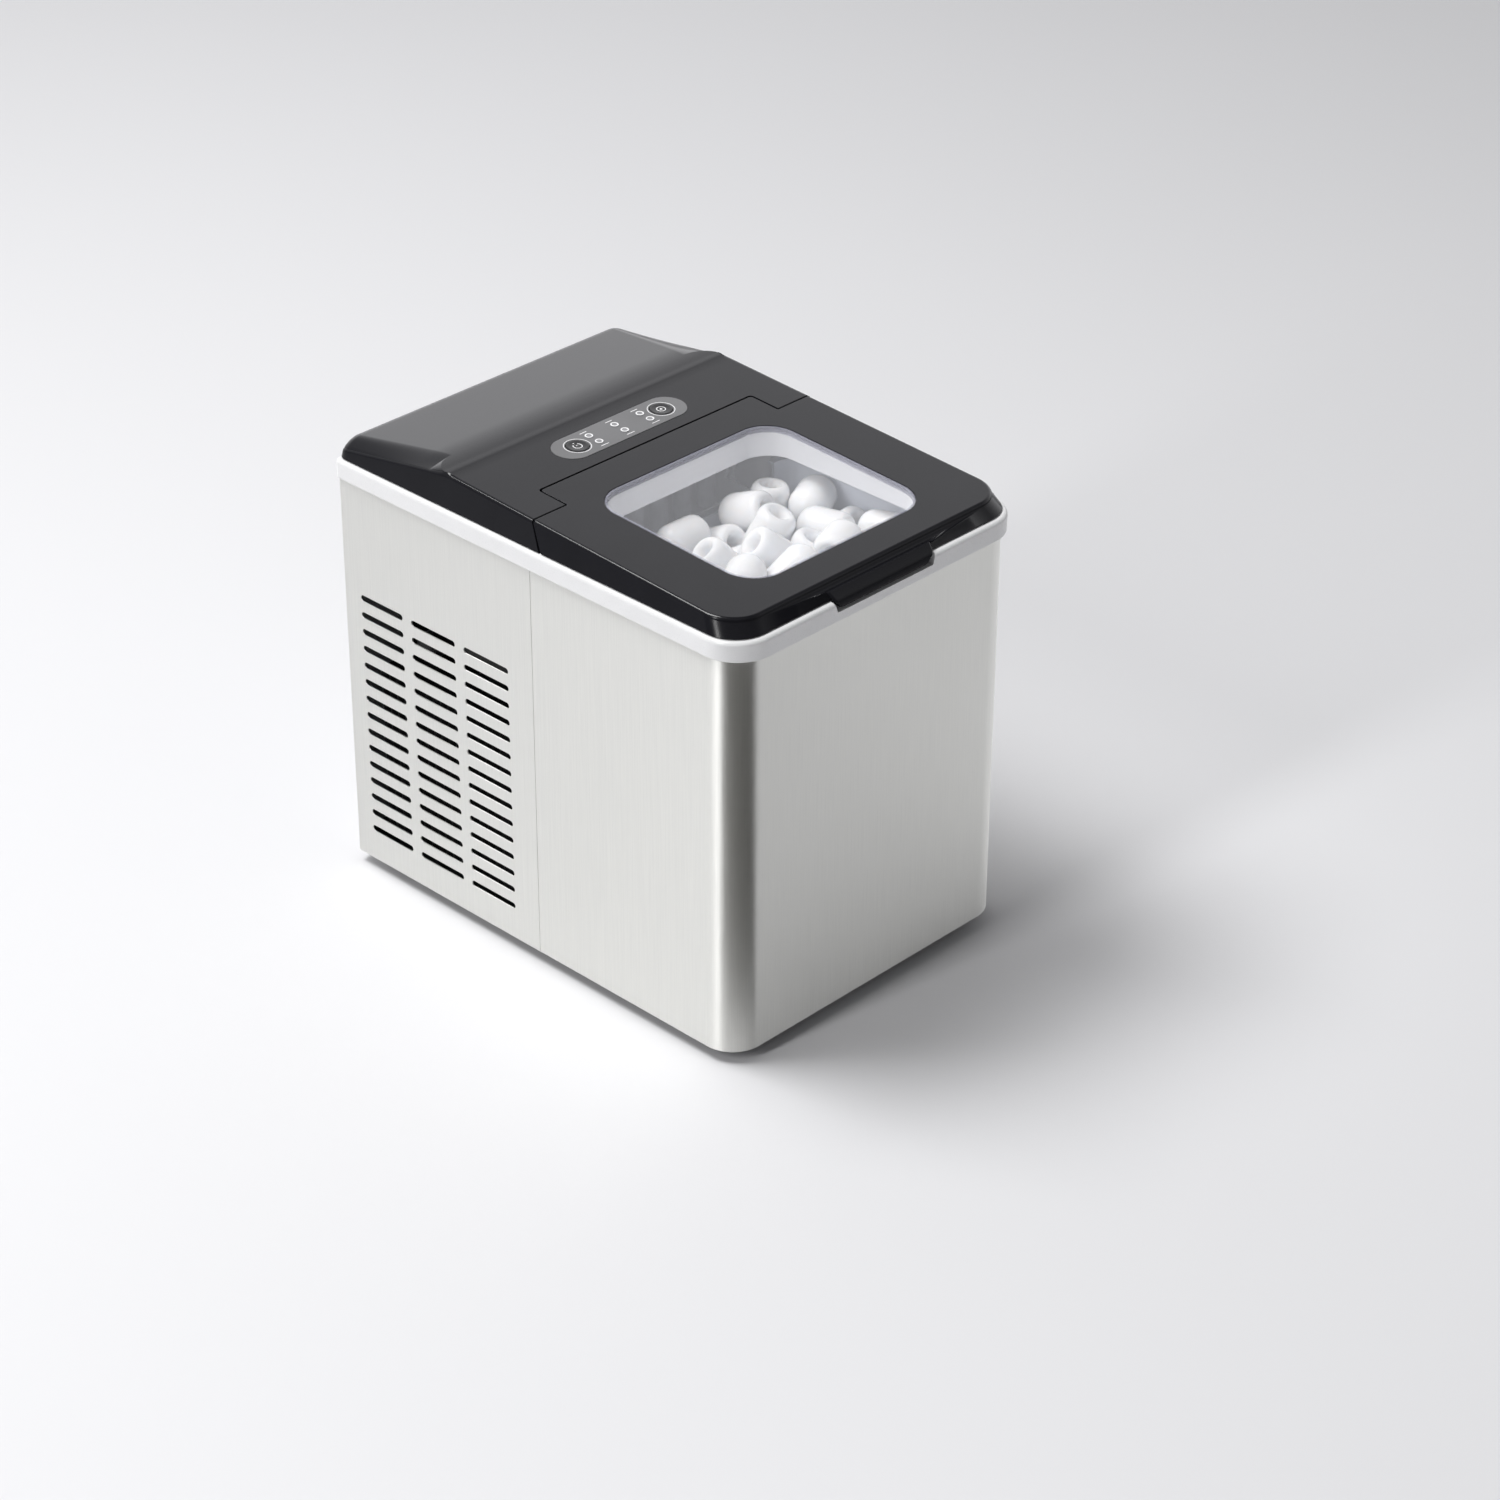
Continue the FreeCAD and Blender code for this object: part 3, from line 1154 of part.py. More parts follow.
BUILDERS = (
    base_tray, base_screws, rubber_feet, front_shell, left_side_panel, right_side_panel,
    rear_panel, rear_panel_screws, cord_gland, top_rim, rear_cover, control_overlay,
    power_button, select_button, indicator_lenses, display_board, display_board_screws,
    lid_frame, lid_window, lid_inner_frame, lid_gasket, lid_screws, hinge_pins,
    bin_liner, bin_insulation, partition_panel, ice_basket, evaporator, evaporator_bracket,
    water_tray, tray_shafts, ice_shovel, tray_motor, fill_spout, ice_sensors, level_probes,
    water_pump, pump_impeller, pump_hoses, drain_hose, drain_spout, drain_cap,
    compressor_base, compressor_grommets, compressor, terminal_cover, condenser_fins,
    condenser_tube, fan_shroud, fan_motor, fan_blade, filter_drier, hot_gas_valve,
    refrigerant_lines, board_bracket, main_board, board_screws,
)


def build_all():
    os.makedirs("parts", exist_ok=True)
    for builder in BUILDERS:
        shape = builder()
        shape.exportStep("parts/" + builder.__name__ + ".step")
        size = shape.BoundBox
        report = "%-22s %s solids %d volume %8.1f cm3 x %.1f..%.1f y %.1f..%.1f z %.1f..%.1f" % (
            builder.__name__, "ok " if shape.isValid() else "BAD", len(shape.Solids),
            shape.Volume / 1000, size.XMin, size.XMax, size.YMin, size.YMax, size.ZMin, size.ZMax)
        print(report)


build_all()
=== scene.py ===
"""Looks of a countertop bullet-ice maker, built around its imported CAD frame. Lengths here are millimetres."""

from math import atan, copysign, cos, pi, radians, sin, sqrt, tan, tau

import bmesh
import bpy
import numpy as np
from mathutils import Matrix, Vector


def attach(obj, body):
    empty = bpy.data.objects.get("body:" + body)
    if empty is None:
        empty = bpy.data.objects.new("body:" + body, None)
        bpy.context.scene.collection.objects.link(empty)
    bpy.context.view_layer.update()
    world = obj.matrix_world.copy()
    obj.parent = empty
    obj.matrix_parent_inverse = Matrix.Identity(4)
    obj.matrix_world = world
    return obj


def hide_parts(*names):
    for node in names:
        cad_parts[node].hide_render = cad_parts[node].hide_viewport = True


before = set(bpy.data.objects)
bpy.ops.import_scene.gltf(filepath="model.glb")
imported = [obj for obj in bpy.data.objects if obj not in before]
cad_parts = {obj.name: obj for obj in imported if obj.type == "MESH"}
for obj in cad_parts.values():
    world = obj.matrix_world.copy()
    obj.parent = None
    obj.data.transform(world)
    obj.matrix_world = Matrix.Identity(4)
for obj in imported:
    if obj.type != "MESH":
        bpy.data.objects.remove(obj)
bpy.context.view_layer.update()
scene = bpy.context.scene
MM = 0.001

# ---------------- sizes
BODY_HALF_X = 121.0
BODY_HALF_Y = 170.0
STEEL_Z = (8.0, 278.0)
SHEET = 0.8
FRONT_R = 22.0
REAR_R = 3.0
SEAM_Y = -2.0
SEAM_HALF_GAP = 0.15
FLANGE = 13.0
LAP_Y = (-11.0, 3.0)
LAP_LOW = 24.0

SLOT_COLUMNS = ((115.0, 153.4), (67.3, 107.0), (19.8, 59.4))
SLOT_LOW = 31.5
SLOT_PITCH = 12.0
SLOT_ROWS = 15
SLOT_H = 4.0
SCREW_HOLE_R = 1.7
SCREW_X = 113.0
SCREW_Z = (24.0, 104.0, 184.0, 264.0)

RIM_X = 122.8
RIM_Y = (-175.0, 170.6)
RIM_TOP = 290.7
RIM_R = (25.5, 4.0)
RIM_LIP_R = 2.6
RIM_FOOT_R = 0.6
MOUTH_X = 112.2
MOUTH_Y = (-160.2, 160.0)
LEDGE_Z = 284.0
HOLE_X = 108.3
HOLE_Y = (-156.3, 159.7)
SKIRT_LOW = 268.0
SKIRT_GAP = 0.2
SKIRT_T = 2.0
SKIRT_R = (21.0, 2.0)
MOUTH_R = (15.0, 5.0)
MOUTH_EDGE = ((0.6, 0.0, 0.6), (0.18, 0.18, 0.2), (0.0, 0.6, 0.0))    # outward, down and rounder
HOLE_R = (14.0, 4.0)
LAP_ROOM_X = 117.0    # room in the skirt for the side panels' laps
LAP_ROOM_Y = (-12.0, 4.0)
RECESS_HALF = 40.8    # notch under the grip
RECESS_LEAN = 2.4 / 6.7
RECESS_LIFT = 20.0
RECESS_REAR = -166.0

ROOF_Z = 309.0
ROOF_RISE = 0.0482
ROOF_TILT = atan(ROOF_RISE)
RIDGE_Y = 89.5
RIDGE_SOFT = 2.4    # height between the two slopes' planes at which the softening starts
BACK_FALL = 0.1304
HIP_Y = 69.3
HIP_FALL = 0.161
HIP_R = 19.7
HIP_REAR_W = 12.0
HIP_STEPS = 14
HIP_POWER = (1.35, 0.65)    # how hollow the hip is at the ridge, and what it gains towards the rear
CREASE_R = 2.2
CREASE_LOSS = 0.9
RIDGE_STATION = 1.5
REAR_STATIONS = (107.0, 5.0)    # first section and step on the back slope
SIDE_INSET = 3.0
COVER_LOW = 291.1
COVER_HALF = 120.6
COVER_REAR = 168.5
COVER_WALL = 2.5
LID_FRONT = (-171.0, -165.5)
LID_R = 23.0
LID_EDGE_R = 2.4
SEAM_EDGE_R = 0.5
FOOT_EDGE_R = 0.6
REAR_SOFT = 7.0
REAR_STEPS = 10
REAR_SIDE_SHARE = 0.45
REAR_DROP_SHARE = 0.55
REAR_SIDE_POWER = 12

TAB_HALF = 90.5
TAB_REAR = 22.4
TAB_UNDER = 305.8
TAB_ROOM_R = 2.6
LID_CORNER_STEPS = (5, 30, 30, 5, 5, 7, 7, 5)
LID_BACK = -3.0
EAR_LOW_Y = -10.0
SEAM_RUN = 9.0 / 18.3
LID_GAP = 1.2
HINGE_Y = 12.0
HINGE_Z = 305.7
KNUCKLE_R = 3.4
KNUCKLE_X = (79.0, 89.3)
WEB_HALF_Y = 2.5
WEB_TOP = 308.0
PIN_HOLE_R = 1.65
PIN_HOLE_X = (70.0, 95.0)

WINDOW_X = 76.0
WINDOW_Y = (-141.0, -6.5)
WINDOW_R = 22.0
WINDOW_T = 4.0
WINDOW_SOFT = 0.5
PANE_GAP = 0.15
PANE_SOFT = 0.45
PANE_EDGE_W = 1.1
COLLAR_Z = (288.2, 290.4)
COLLAR_IN = 1.5
COLLAR_SOFT = 1.0
COLLAR_WALL = 4.0
COLLAR_REAR = -5.7
LINING_X = 109.5
LINING_Y = (-157.5, -3.6)
LINING_R = (12.0, 4.0)
EAR_ROOM_X = (88.0, 130.0)
EAR_ROOM_Y = (-15.5, 30.0)
GRIP_HALF = (37.0, 42.6)
GRIP_Y = (-174.6, -167.0)
GRIP_LOW = 285.5
GRIP_SOFT = 1.4
GRIP_LEAN_Z = 6.1
GRIP_ROOT = [(0.0, 290.5), (1.6, 293.0), (5.0, 296.0)]    # inset and height where it meets the lid
SOFT = ((1.0, 0.0), (0.3, 0.3), (0.0, 1.0))    # a small rounded edge: shares of its radius across and along

PANEL_Y = 45.8
PANEL_W = 106.0
PANEL_H = 27.0
BUTTON_X = (-35.5, 35.5)
BUTTON_R = 7.2
BUTTON_HOLE_R = 7.6
LAMP_X = (-21.6, 0.0, 21.6)
LAMP_DY = 4.5
LAMP_R = 2.8
LAMP_WINDOW_R = 1.7
LAMP_PLACES = [(x, PANEL_Y + dy) for x in LAMP_X for dy in (-LAMP_DY, LAMP_DY)]
DEPTHS = (0.6, 9.0, 6.0)    # of the overlay's bed and the button and lamp holes
FILM_T = 0.85
FILM_GAP = 0.2
FILM_TOP = 0.25
BUTTON_RING = (8.3, 8.8)
LAMP_RING = (1.8, 2.6)
LEGENDS = ((-9.7, 6.4), (9.7, 5.6))    # offset from the panel's middle line, and width
LEGEND_H = 0.55
INK_Z = (0.24, 0.31)
LAMP_INK_Z = (0.24, 0.6)
ICON_Z = (0.10, 0.34)
ICON_R = (2.5, 3.05)
ICON_DOT_R = (0.1, 0.9)

# a black sheet behind the rear vents, standing in for shade inside the machine
SHADE_SCREEN_X = (-66.0, 66.0)
SHADE_SCREEN_Y = (169.2, 169.7)
SHADE_SCREEN_Z = (54.0, 174.0)
SHELF_SHADE_X = 98.8    # the liner's painted black shade lies beyond these
SHELF_SHADE_Y = (14.6, 90.8)

ICE_COUNT = 110
ICE_R = 13.2
ICE_LENGTH = 37.0
ICE_SEED = 17
BASKET_IN_X = 95.0
BASKET_IN_Y = (-144.0, -9.0)
BASKET_FLOOR = 170.5
ICE_TOP = 278.0
ICE_CROWN = 8.5          # how much higher it may stand under the window
ICE_CROWN_X = 52.0
ICE_CROWN_Y = (-118.0, -30.0)
ICE_FALL = 240.0         # how far a piece with nothing under it would sink
LID_PRESS = 120.0        # how far above ICE_TOP the settling starts to be held down
ICE_GRID = (5, 3)
ICE_START = (-76.0, -124.0)
ICE_SPACING = (38.0, 48.0, 27.0)
ICE_PUSH = 0.3
ICE_STEPS = 420
BULLET_LIP = 8.0
BULLET_BORE_R = 4.6
BULLET_SIDES = 28

STEEL_GRAIN = (1400.0, 1400.0, 22.0)
STEEL_CLOUDS = (9.0, 9.0, 5.0)
GLOSS_RANGE = (0.08, 0.44)
GLOSS_FACING = (0.35, 0.93)

# camera, solved from the straight edges in the picture
CAMERA_AT = (-1515.0, -1530.7, 1390.3)
CAMERA_AZIMUTH = -45.962
CAMERA_ELEVATION = 30.896
CAMERA_ROLL = 0.225
LENS_MM = 95.75
SENSOR_MM = 36.0

# studio: brightness of the surroundings by height, where 0 is level and 1 overhead
SKY = ((0.0, 1.0), (0.28, 0.86), (0.54, 0.47), (0.66, 0.22), (0.85, 0.06))
SKY_STRENGTH = 1.4
SKY_SIDES = (0.13, 1.08)    # share of it that comes from the near side, and from the far side
SKY_FAR = (0.839, 0.545, 0.0)
SKY_TURN = (-0.5, 0.9)
SKY_BLUE = 1.02
# place, aim and size of each lamp in metres, and its power in watts
LAMPS = {
    "key": ((-3.0, 0.05, 2.0), (0.0, 0.0, 0.15), (0.4, 1.8), 41.0),
    "top": ((-0.75, 1.1, 3.0), (0.0, 0.0, 0.2), (1.5, 1.5), 88.0),
    "fill": ((-2.2, -1.6, 1.6), (0.0, 0.0, 0.1), (1.6, 1.6), 2.0),
}
FLOOR_SPAN = (-9000.0, 9000.0)
FLOOR_Z = (-40.0, -0.05)
FLOOR_TONES = ((0.775, 0.775, 0.79), (0.795, 0.795, 0.81))
FLAG_AT = (-147.5, -215.9)
FLAG_TURN = -25.0
FLAG_SIZE = (181.0, 2.0, 900.0)
FLAG_GREY = (0.14, 0.137, 0.132)


# ---------------- mesh helpers
def new_piece(name, verts, faces):
    """Mesh object from points in millimetres, with its normals facing out."""
    mesh = bpy.data.meshes.new(name)
    mesh.from_pydata([(x * MM, y * MM, z * MM) for x, y, z in verts], [], faces)
    work = bmesh.new()
    work.from_mesh(mesh)
    bmesh.ops.remove_doubles(work, verts=work.verts, dist=1e-7)
    bmesh.ops.recalc_face_normals(work, faces=work.faces)
    work.to_mesh(mesh)
    work.free()
    piece = bpy.data.objects.new(name, mesh)
    scene.collection.objects.link(piece)
    return piece


def loft(name, rings, closed=False):
    """Skin over rings of equally many points. Open ends are capped; a closed loft meets its first ring."""
    count = len(rings[0])
    verts = [point for ring in rings for point in ring]
    faces = []
    spans = len(rings) if closed else len(rings) - 1
    for i in range(spans):
        a = i * count
        b = ((i + 1) % len(rings)) * count
        for k in range(count):
            n = (k + 1) % count
            faces.append((a + k, a + n, b + n, b + k))
    if not closed:
        faces.append(tuple(range(count - 1, -1, -1)))
        faces.append(tuple(range((len(rings) - 1) * count, len(rings) * count)))
    return new_piece(name, verts, faces)


def rounded(corners, steps):
    """Polygon with rounded corners. Each corner is (x, y, radius); steps gives the arc segments at each."""
    points = []
    total = len(corners)
    for i, (x, y, radius) in enumerate(corners):
        here = Vector((x, y))
        before = (Vector(corners[i - 1][:2]) - here).normalized()
        after = (Vector(corners[(i + 1) % total][:2]) - here).normalized()
        half = before.angle(after) / 2
        reach = radius / tan(half)
        centre = here + (before + after).normalized() * (radius / sin(half))
        start = here + before * reach - centre
        turn = start.angle_signed(here + after * reach - centre)
        for k in range(steps[i] + 1):
            arm = start.copy()
            arm.rotate(Matrix.Rotation(-turn * k / steps[i], 2))
            points.append((centre.x + arm.x, centre.y + arm.y))
    return points


def rectangle(half, y, radii, steps=(20, 20)):
    """Rounded rectangle in plan, half wide to each side. Radii and steps: front corners, then rear ones."""
    front, rear = radii
    corners = [(-half, y[1], rear), (-half, y[0], front), (half, y[0], front), (half, y[1], rear)]
    return rounded(corners, (steps[1], steps[0], steps[0], steps[1]))


def level(points, z):
    return [(x, y, z) for x, y in points]


def box_piece(name, x, y, z):
    return loft(name, [level([(x[0], y[0]), (x[1], y[0]), (x[1], y[1]), (x[0], y[1])], h) for h in z])


def quarter(radius, steps):
    """A rounded edge as (inset, rise) pairs, from where it lies flat to where it stands upright."""
    angles = [pi / 2 * k / steps for k in range(steps + 1)]
    return [(radius * (1 - sin(a)), radius * (1 - cos(a))) for a in angles]


def rod_piece(name, start, end, radius, sides=48):
    """Round bar between two points."""
    a = Vector(start)
    axis = (Vector(end) - a).normalized()
    across = axis.orthogonal().normalized()
    other = axis.cross(across)
    rings = []
    for centre in (a, Vector(end)):
        ring = []
        for k in range(sides):
            angle = 2 * pi * k / sides
            ring.append(tuple(centre + (across * cos(angle) + other * sin(angle)) * radius))
        rings.append(ring)
    return loft(name, rings)


def prism_along_x(name, outline, x):
    """Outline given as (y, z) points, pulled along X."""
    return loft(name, [[(side, y, z) for y, z in outline] for side in x])


def on_roof(piece):
    """Moves a piece drawn on the flat, with its top at z = 0, onto the sloping top plane."""
    turn = Matrix.Rotation(ROOF_TILT, 4, "X")
    piece.data.transform(Matrix.Translation((0, 0, ROOF_Z * MM)) @ turn)
    return piece


def baked(holder):
    """Mesh of an object as its modifiers or curve settings make it."""
    bpy.context.view_layer.update()
    return bpy.data.meshes.new_from_object(holder.evaluated_get(bpy.context.evaluated_depsgraph_get()))


def combine(piece, tool, operation="DIFFERENCE"):
    """Boolean of two pieces; the tool is used up."""
    step = piece.modifiers.new(operation, "BOOLEAN")
    step.operation = operation
    step.solver = "EXACT"
    step.object = tool
    mesh = baked(piece)
    piece.modifiers.clear()
    piece.data = mesh
    bpy.data.objects.remove(tool)


def joined(name, pieces):
    """One object from several meshes."""
    work = bmesh.new()
    for piece in pieces:
        work.from_mesh(piece.data)
        bpy.data.objects.remove(piece)
    mesh = bpy.data.meshes.new(name)
    work.to_mesh(mesh)
    work.free()
    result = bpy.data.objects.new(name, mesh)
    scene.collection.objects.link(result)
    return result


def filled(name, loops, thickness, edge_r, plane):
    """Plate with holes and softened edges. loops are 2-D outlines, plane turns (u, v, w) into (x, y, z)."""
    curve = bpy.data.curves.new(name, "CURVE")
    curve.dimensions = "2D"
    curve.fill_mode = "BOTH"
    curve.extrude = thickness / 2 - edge_r
    curve.bevel_depth = edge_r
    curve.bevel_resolution = 1
    curve.offset = -edge_r
    for loop in loops:
        spline = curve.splines.new("POLY")
        spline.points.add(len(loop) - 1)
        for point, (u, v) in zip(spline.points, loop):
            point.co = (u, v, 0, 1)
        spline.use_cyclic_u = True
    holder = bpy.data.objects.new(name, curve)
    scene.collection.objects.link(holder)
    mesh = baked(holder)
    verts = [plane(v.co.x, v.co.y, v.co.z) for v in mesh.vertices]
    faces = [tuple(p.vertices) for p in mesh.polygons]
    bpy.data.objects.remove(holder)
    return new_piece(name, verts, faces)


def stadium(cx, cy, width, height, steps=16):
    x, y = width / 2, height / 2
    places = [(cx - x, cy + y), (cx - x, cy - y), (cx + x, cy - y), (cx + x, cy + y)]
    return rounded([(*place, y - 0.001) for place in places], (steps,) * 4)


def circle(cx, cy, radius, sides=48):
    angles = [2 * pi * k / sides for k in range(sides)]
    return [(cx + radius * cos(a), cy + radius * sin(a)) for a in angles]


def dress(piece, surface, body, slot, *replaced, sharp=32.0):
    """Finish, shading and body of a new piece, and the CAD nodes that it stands for. Its slot argument is not
    used.
    """
    piece.data.materials.clear()
    piece.data.materials.append(surface)
    piece.data.shade_smooth()
    piece.data.set_sharp_from_angle(angle=radians(sharp))
    even = piece.modifiers.new("even_shading", "WEIGHTED_NORMAL")
    even.keep_sharp = True
    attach(piece, body)
    if replaced:
        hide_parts(*replaced)


# ---------------- materials
def blank(name):
    surface = bpy.data.materials.new(name)
    surface.use_nodes = True
    tree = surface.node_tree
    return surface, tree, tree.nodes["Principled BSDF"]


def set_inputs(node, values):
    for name, value in values.items():
        node.inputs[name].default_value = value


def add_node(tree, kind, values):
    """New shader node with its inputs set by name."""
    node = tree.nodes.new("ShaderNode" + kind)
    set_inputs(node, values)
    return node


def feed(tree, shader, colour, rough):
    """Drives a surface's colour and roughness."""
    tree.links.new(colour, shader.inputs["Base Color"])
    tree.links.new(rough, shader.inputs["Roughness"])


def coordinate(tree, kind, axis):
    """One component of a texture coordinate."""
    place = tree.nodes.new("ShaderNodeTexCoord")
    parts = tree.nodes.new("ShaderNodeSeparateXYZ")
    tree.links.new(place.outputs[kind], parts.inputs["Vector"])
    return parts.outputs[axis]


def mapped(tree, stretch):
    """Object coordinates, in metres, multiplied by stretch."""
    place = tree.nodes.new("ShaderNodeTexCoord")
    scale = add_node(tree, "Mapping", {"Scale": stretch})
    tree.links.new(place.outputs["Object"], scale.inputs["Vector"])
    return scale.outputs["Vector"]


def noise(tree, stretch, detail=3.0):
    texture = add_node(tree, "TexNoise", {"Scale": 1.0, "Detail": detail})
    tree.links.new(mapped(tree, stretch), texture.inputs["Vector"])
    return texture.outputs["Fac"]


def spread(tree, value, low, high, source=(0.3, 0.7)):
    """Maps a texture value onto a range."""
    ranges = {"From Min": source[0], "From Max": source[1], "To Min": low, "To Max": high}
    span = add_node(tree, "MapRange", ranges)
    tree.links.new(value, span.inputs["Value"])
    return span.outputs["Result"]


def tinted(tree, value, dark, light):
    """Colour between two tones, chosen by a texture value."""
    ramp = tree.nodes.new("ShaderNodeValToRGB")
    ramp.color_ramp.elements[0].position = 0.3
    ramp.color_ramp.elements[1].position = 0.7
    ramp.color_ramp.elements[0].color = (*dark, 1.0)
    ramp.color_ramp.elements[1].color = (*light, 1.0)
    tree.links.new(value, ramp.inputs["Fac"])
    return ramp.outputs["Color"]


def bumped(tree, shader, value, strength, height_mm):
    bump = add_node(tree, "Bump", {"Strength": strength, "Distance": height_mm * MM})
    tree.links.new(value, bump.inputs["Height"])
    tree.links.new(bump.outputs["Normal"], shader.inputs["Normal"])


def shade(colour, factor):
    return tuple(min(1.0, c * factor) for c in colour)


def moulded(name, colour, rough, vary=0.04, grain=1500.0, height=0.02, strength=0.15, metal=0.0, cloud=40.0):
    """Plastic, rubber, paint or plain metal: slight clouding, uneven gloss and a fine surface grain."""
    surface, tree, shader = blank(name)
    shader.inputs["Metallic"].default_value = metal
    clouds = noise(tree, (cloud,) * 3)
    fine = noise(tree, (grain,) * 3, 2.0)
    colours = tinted(tree, clouds, shade(colour, 1 - vary), shade(colour, 1 + vary))
    feed(tree, shader, colours, spread(tree, fine, rough * 0.88, rough * 1.12))
    bumped(tree, shader, fine, strength, height)
    return surface


def polished_top(surface):
    """Full gloss where the piece faces up in its own frame, and little on its upright edges."""
    tree = surface.node_tree
    gloss = spread(tree, coordinate(tree, "Normal", "Z"), *GLOSS_RANGE, GLOSS_FACING)
    tree.links.new(gloss, tree.nodes["Principled BSDF"].inputs["Specular IOR Level"])


def brushed_steel(name, colour, rough):
    """Sheet metal with a fine upright grain."""
    surface, tree, shader = blank(name)
    set_inputs(shader, {"Metallic": 1.0, "Anisotropic": 0.85, "Anisotropic Rotation": 0.25})
    tangent = tree.nodes.new("ShaderNodeTangent")
    tangent.direction_type = "RADIAL"
    tangent.axis = "Z"
    tree.links.new(tangent.outputs["Tangent"], shader.inputs["Tangent"])
    streaks = noise(tree, STEEL_GRAIN, 4.0)
    mix = add_node(tree, "Mix", {"Factor": 0.25})
    tree.links.new(streaks, mix.inputs["A"])
    tree.links.new(noise(tree, STEEL_CLOUDS), mix.inputs["B"])
    value = mix.outputs["Result"]
    tones = tinted(tree, value, shade(colour, 0.95), shade(colour, 1.03))
    feed(tree, shader, tones, spread(tree, value, rough * 0.85, rough * 1.18))
    bumped(tree, shader, streaks, 0.25, 0.006)
    return surface


def clear_sheet(name, colour, alpha, rough):
    """Clear moulded plastic, faintly uneven."""
    surface, tree, shader = blank(name)
    set_inputs(shader, {"Alpha": alpha, "IOR": 1.49})
    waves = noise(tree, (14.0,) * 3, 1.0)
    tones = tinted(tree, waves, shade(colour, 0.97), colour)
    feed(tree, shader, tones, spread(tree, waves, rough * 0.7, rough * 1.3))
    return surface


def ice_surface():
    """Milky ice: cloudy core, wet gloss, light that travels inside it."""
    surface, tree, shader = blank("milky_ice")
    set_inputs(shader, {"Subsurface Weight": 0.75, "Subsurface Scale": 0.012, "IOR": 1.31})
    set_inputs(shader, {"Subsurface Radius": (0.9, 1.0, 1.1)})
    clouds = noise(tree, (70.0,) * 3, 4.0)
    wet = noise(tree, (260.0,) * 3, 2.0)
    tones = tinted(tree, clouds, (0.93, 0.94, 0.98), (1.0, 1.0, 1.0))
    feed(tree, shader, tones, spread(tree, wet, 0.08, 0.28))
    bumped(tree, shader, clouds, 0.35, 0.8)
    return surface


def math_node(tree, operation, *values):
    """One step of arithmetic; each value is an output of another node or a number."""
    node = tree.nodes.new("ShaderNodeMath")
    node.operation = operation
    for place, value in zip(node.inputs, values):
        if isinstance(value, float):
            place.default_value = value
        else:
            tree.links.new(value, place)
    return node.outputs[0]


def beyond(tree, axis, limit):
    """1 where the piece's own coordinate is over the limit in millimetres; X counts alike on both sides."""
    value = coordinate(tree, "Object", axis)
    if axis == "X":
        value = math_node(tree, "ABSOLUTE", value)
    return math_node(tree, "GREATER_THAN", value, limit * MM)


def liner_surface():
    """White bin liner, with painted shade in black on the outside of its rear shelf."""
    surface, tree, shader = blank("bin_liner")
    clouds = noise(tree, (40.0,) * 3)
    fine = noise(tree, (1500.0,) * 3, 2.0)
    white = tinted(tree, clouds, (0.87, 0.87, 0.89), (0.91, 0.91, 0.93))
    # painted shade: black where the shelf's outside is seen through the side vents
    outside = beyond(tree, "X", SHELF_SHADE_X)
    sides = math_node(tree, "MULTIPLY", outside, beyond(tree, "Y", SHELF_SHADE_Y[0]))
    film = math_node(tree, "MAXIMUM", sides, beyond(tree, "Y", SHELF_SHADE_Y[1]))
    mix = tree.nodes.new("ShaderNodeMix")
    mix.data_type = "RGBA"
    tree.links.new(film, mix.inputs[0])
    tree.links.new(white, mix.inputs[6])
    mix.inputs[7].default_value = (0.02, 0.02, 0.021, 1)
    feed(tree, shader, mix.outputs[2], spread(tree, fine, 0.3, 0.38))
    bumped(tree, shader, fine, 0.1, 0.01)
    return surface


def foam_surface():
    surface, tree, shader = blank("foamed_insulation")
    cells = add_node(tree, "TexVoronoi", {"Scale": 1.0})
    tree.links.new(mapped(tree, (420.0,) * 3), cells.inputs["Vector"])
    value = cells.outputs["Distance"]
    greys = tinted(tree, value, (0.035, 0.035, 0.037), (0.055, 0.055, 0.058))
    feed(tree, shader, greys, spread(tree, value, 0.75, 0.95))
    bumped(tree, shader, value, 0.6, 0.5)
    return surface


def board_surface():
    """Green solder mask over copper tracks."""
    surface, tree, shader = blank("circuit_board")
    tracks = add_node(tree, "TexBrick", {"Scale": 1.0, "Mortar Size": 0.03})
    greens = {"Color1": (0.012, 0.13, 0.055, 1), "Color2": (0.014, 0.16, 0.066, 1)}
    set_inputs(tracks, {**greens, "Mortar": (0.03, 0.24, 0.10, 1)})
    tree.links.new(mapped(tree, (160.0,) * 3), tracks.inputs["Vector"])
    fine = noise(tree, (900.0,) * 3, 2.0)
    feed(tree, shader, tracks.outputs["Color"], spread(tree, fine, 0.28, 0.42))
    bumped(tree, shader, tracks.outputs["Fac"], 0.2, 0.05)
    return surface


STEEL = brushed_steel("brushed_steel", (0.85, 0.85, 0.82), 0.44)
TOP_BLACK = moulded("cover_black", (0.010, 0.010, 0.0125), 0.2, 0.08, 2600.0, 0.006, 0.1)
polished_top(TOP_BLACK)
RIM_WHITE = moulded("rim_white", (0.80, 0.80, 0.805), 0.3, 0.015, 1500.0, 0.01, 0.1)
LINING_WHITE = moulded("lining_white", (0.90, 0.90, 0.92), 0.34, 0.015, 1500.0, 0.01, 0.1)
OVERLAY_GREY = moulded("overlay_film", (0.17, 0.17, 0.175), 0.42, 0.05, 3000.0, 0.01, 0.2)
PRINT_WHITE = moulded("printed_white", (0.90, 0.90, 0.91), 0.5, 0.03, 2500.0, 0.005, 0.1)
BUTTON_GREY = moulded("button_cap", (0.03, 0.03, 0.032), 0.2, 0.05, 2400.0, 0.006, 0.1)
# The pane's pale colour at low alpha paints a milky reflection over the clear window.
PANE = clear_sheet("clear_window", (0.90, 0.91, 0.96), 0.10, 0.05)
PANE_EDGE = clear_sheet("window_edge", (0.62, 0.62, 0.74), 0.34, 0.12)
ICE = ice_surface()


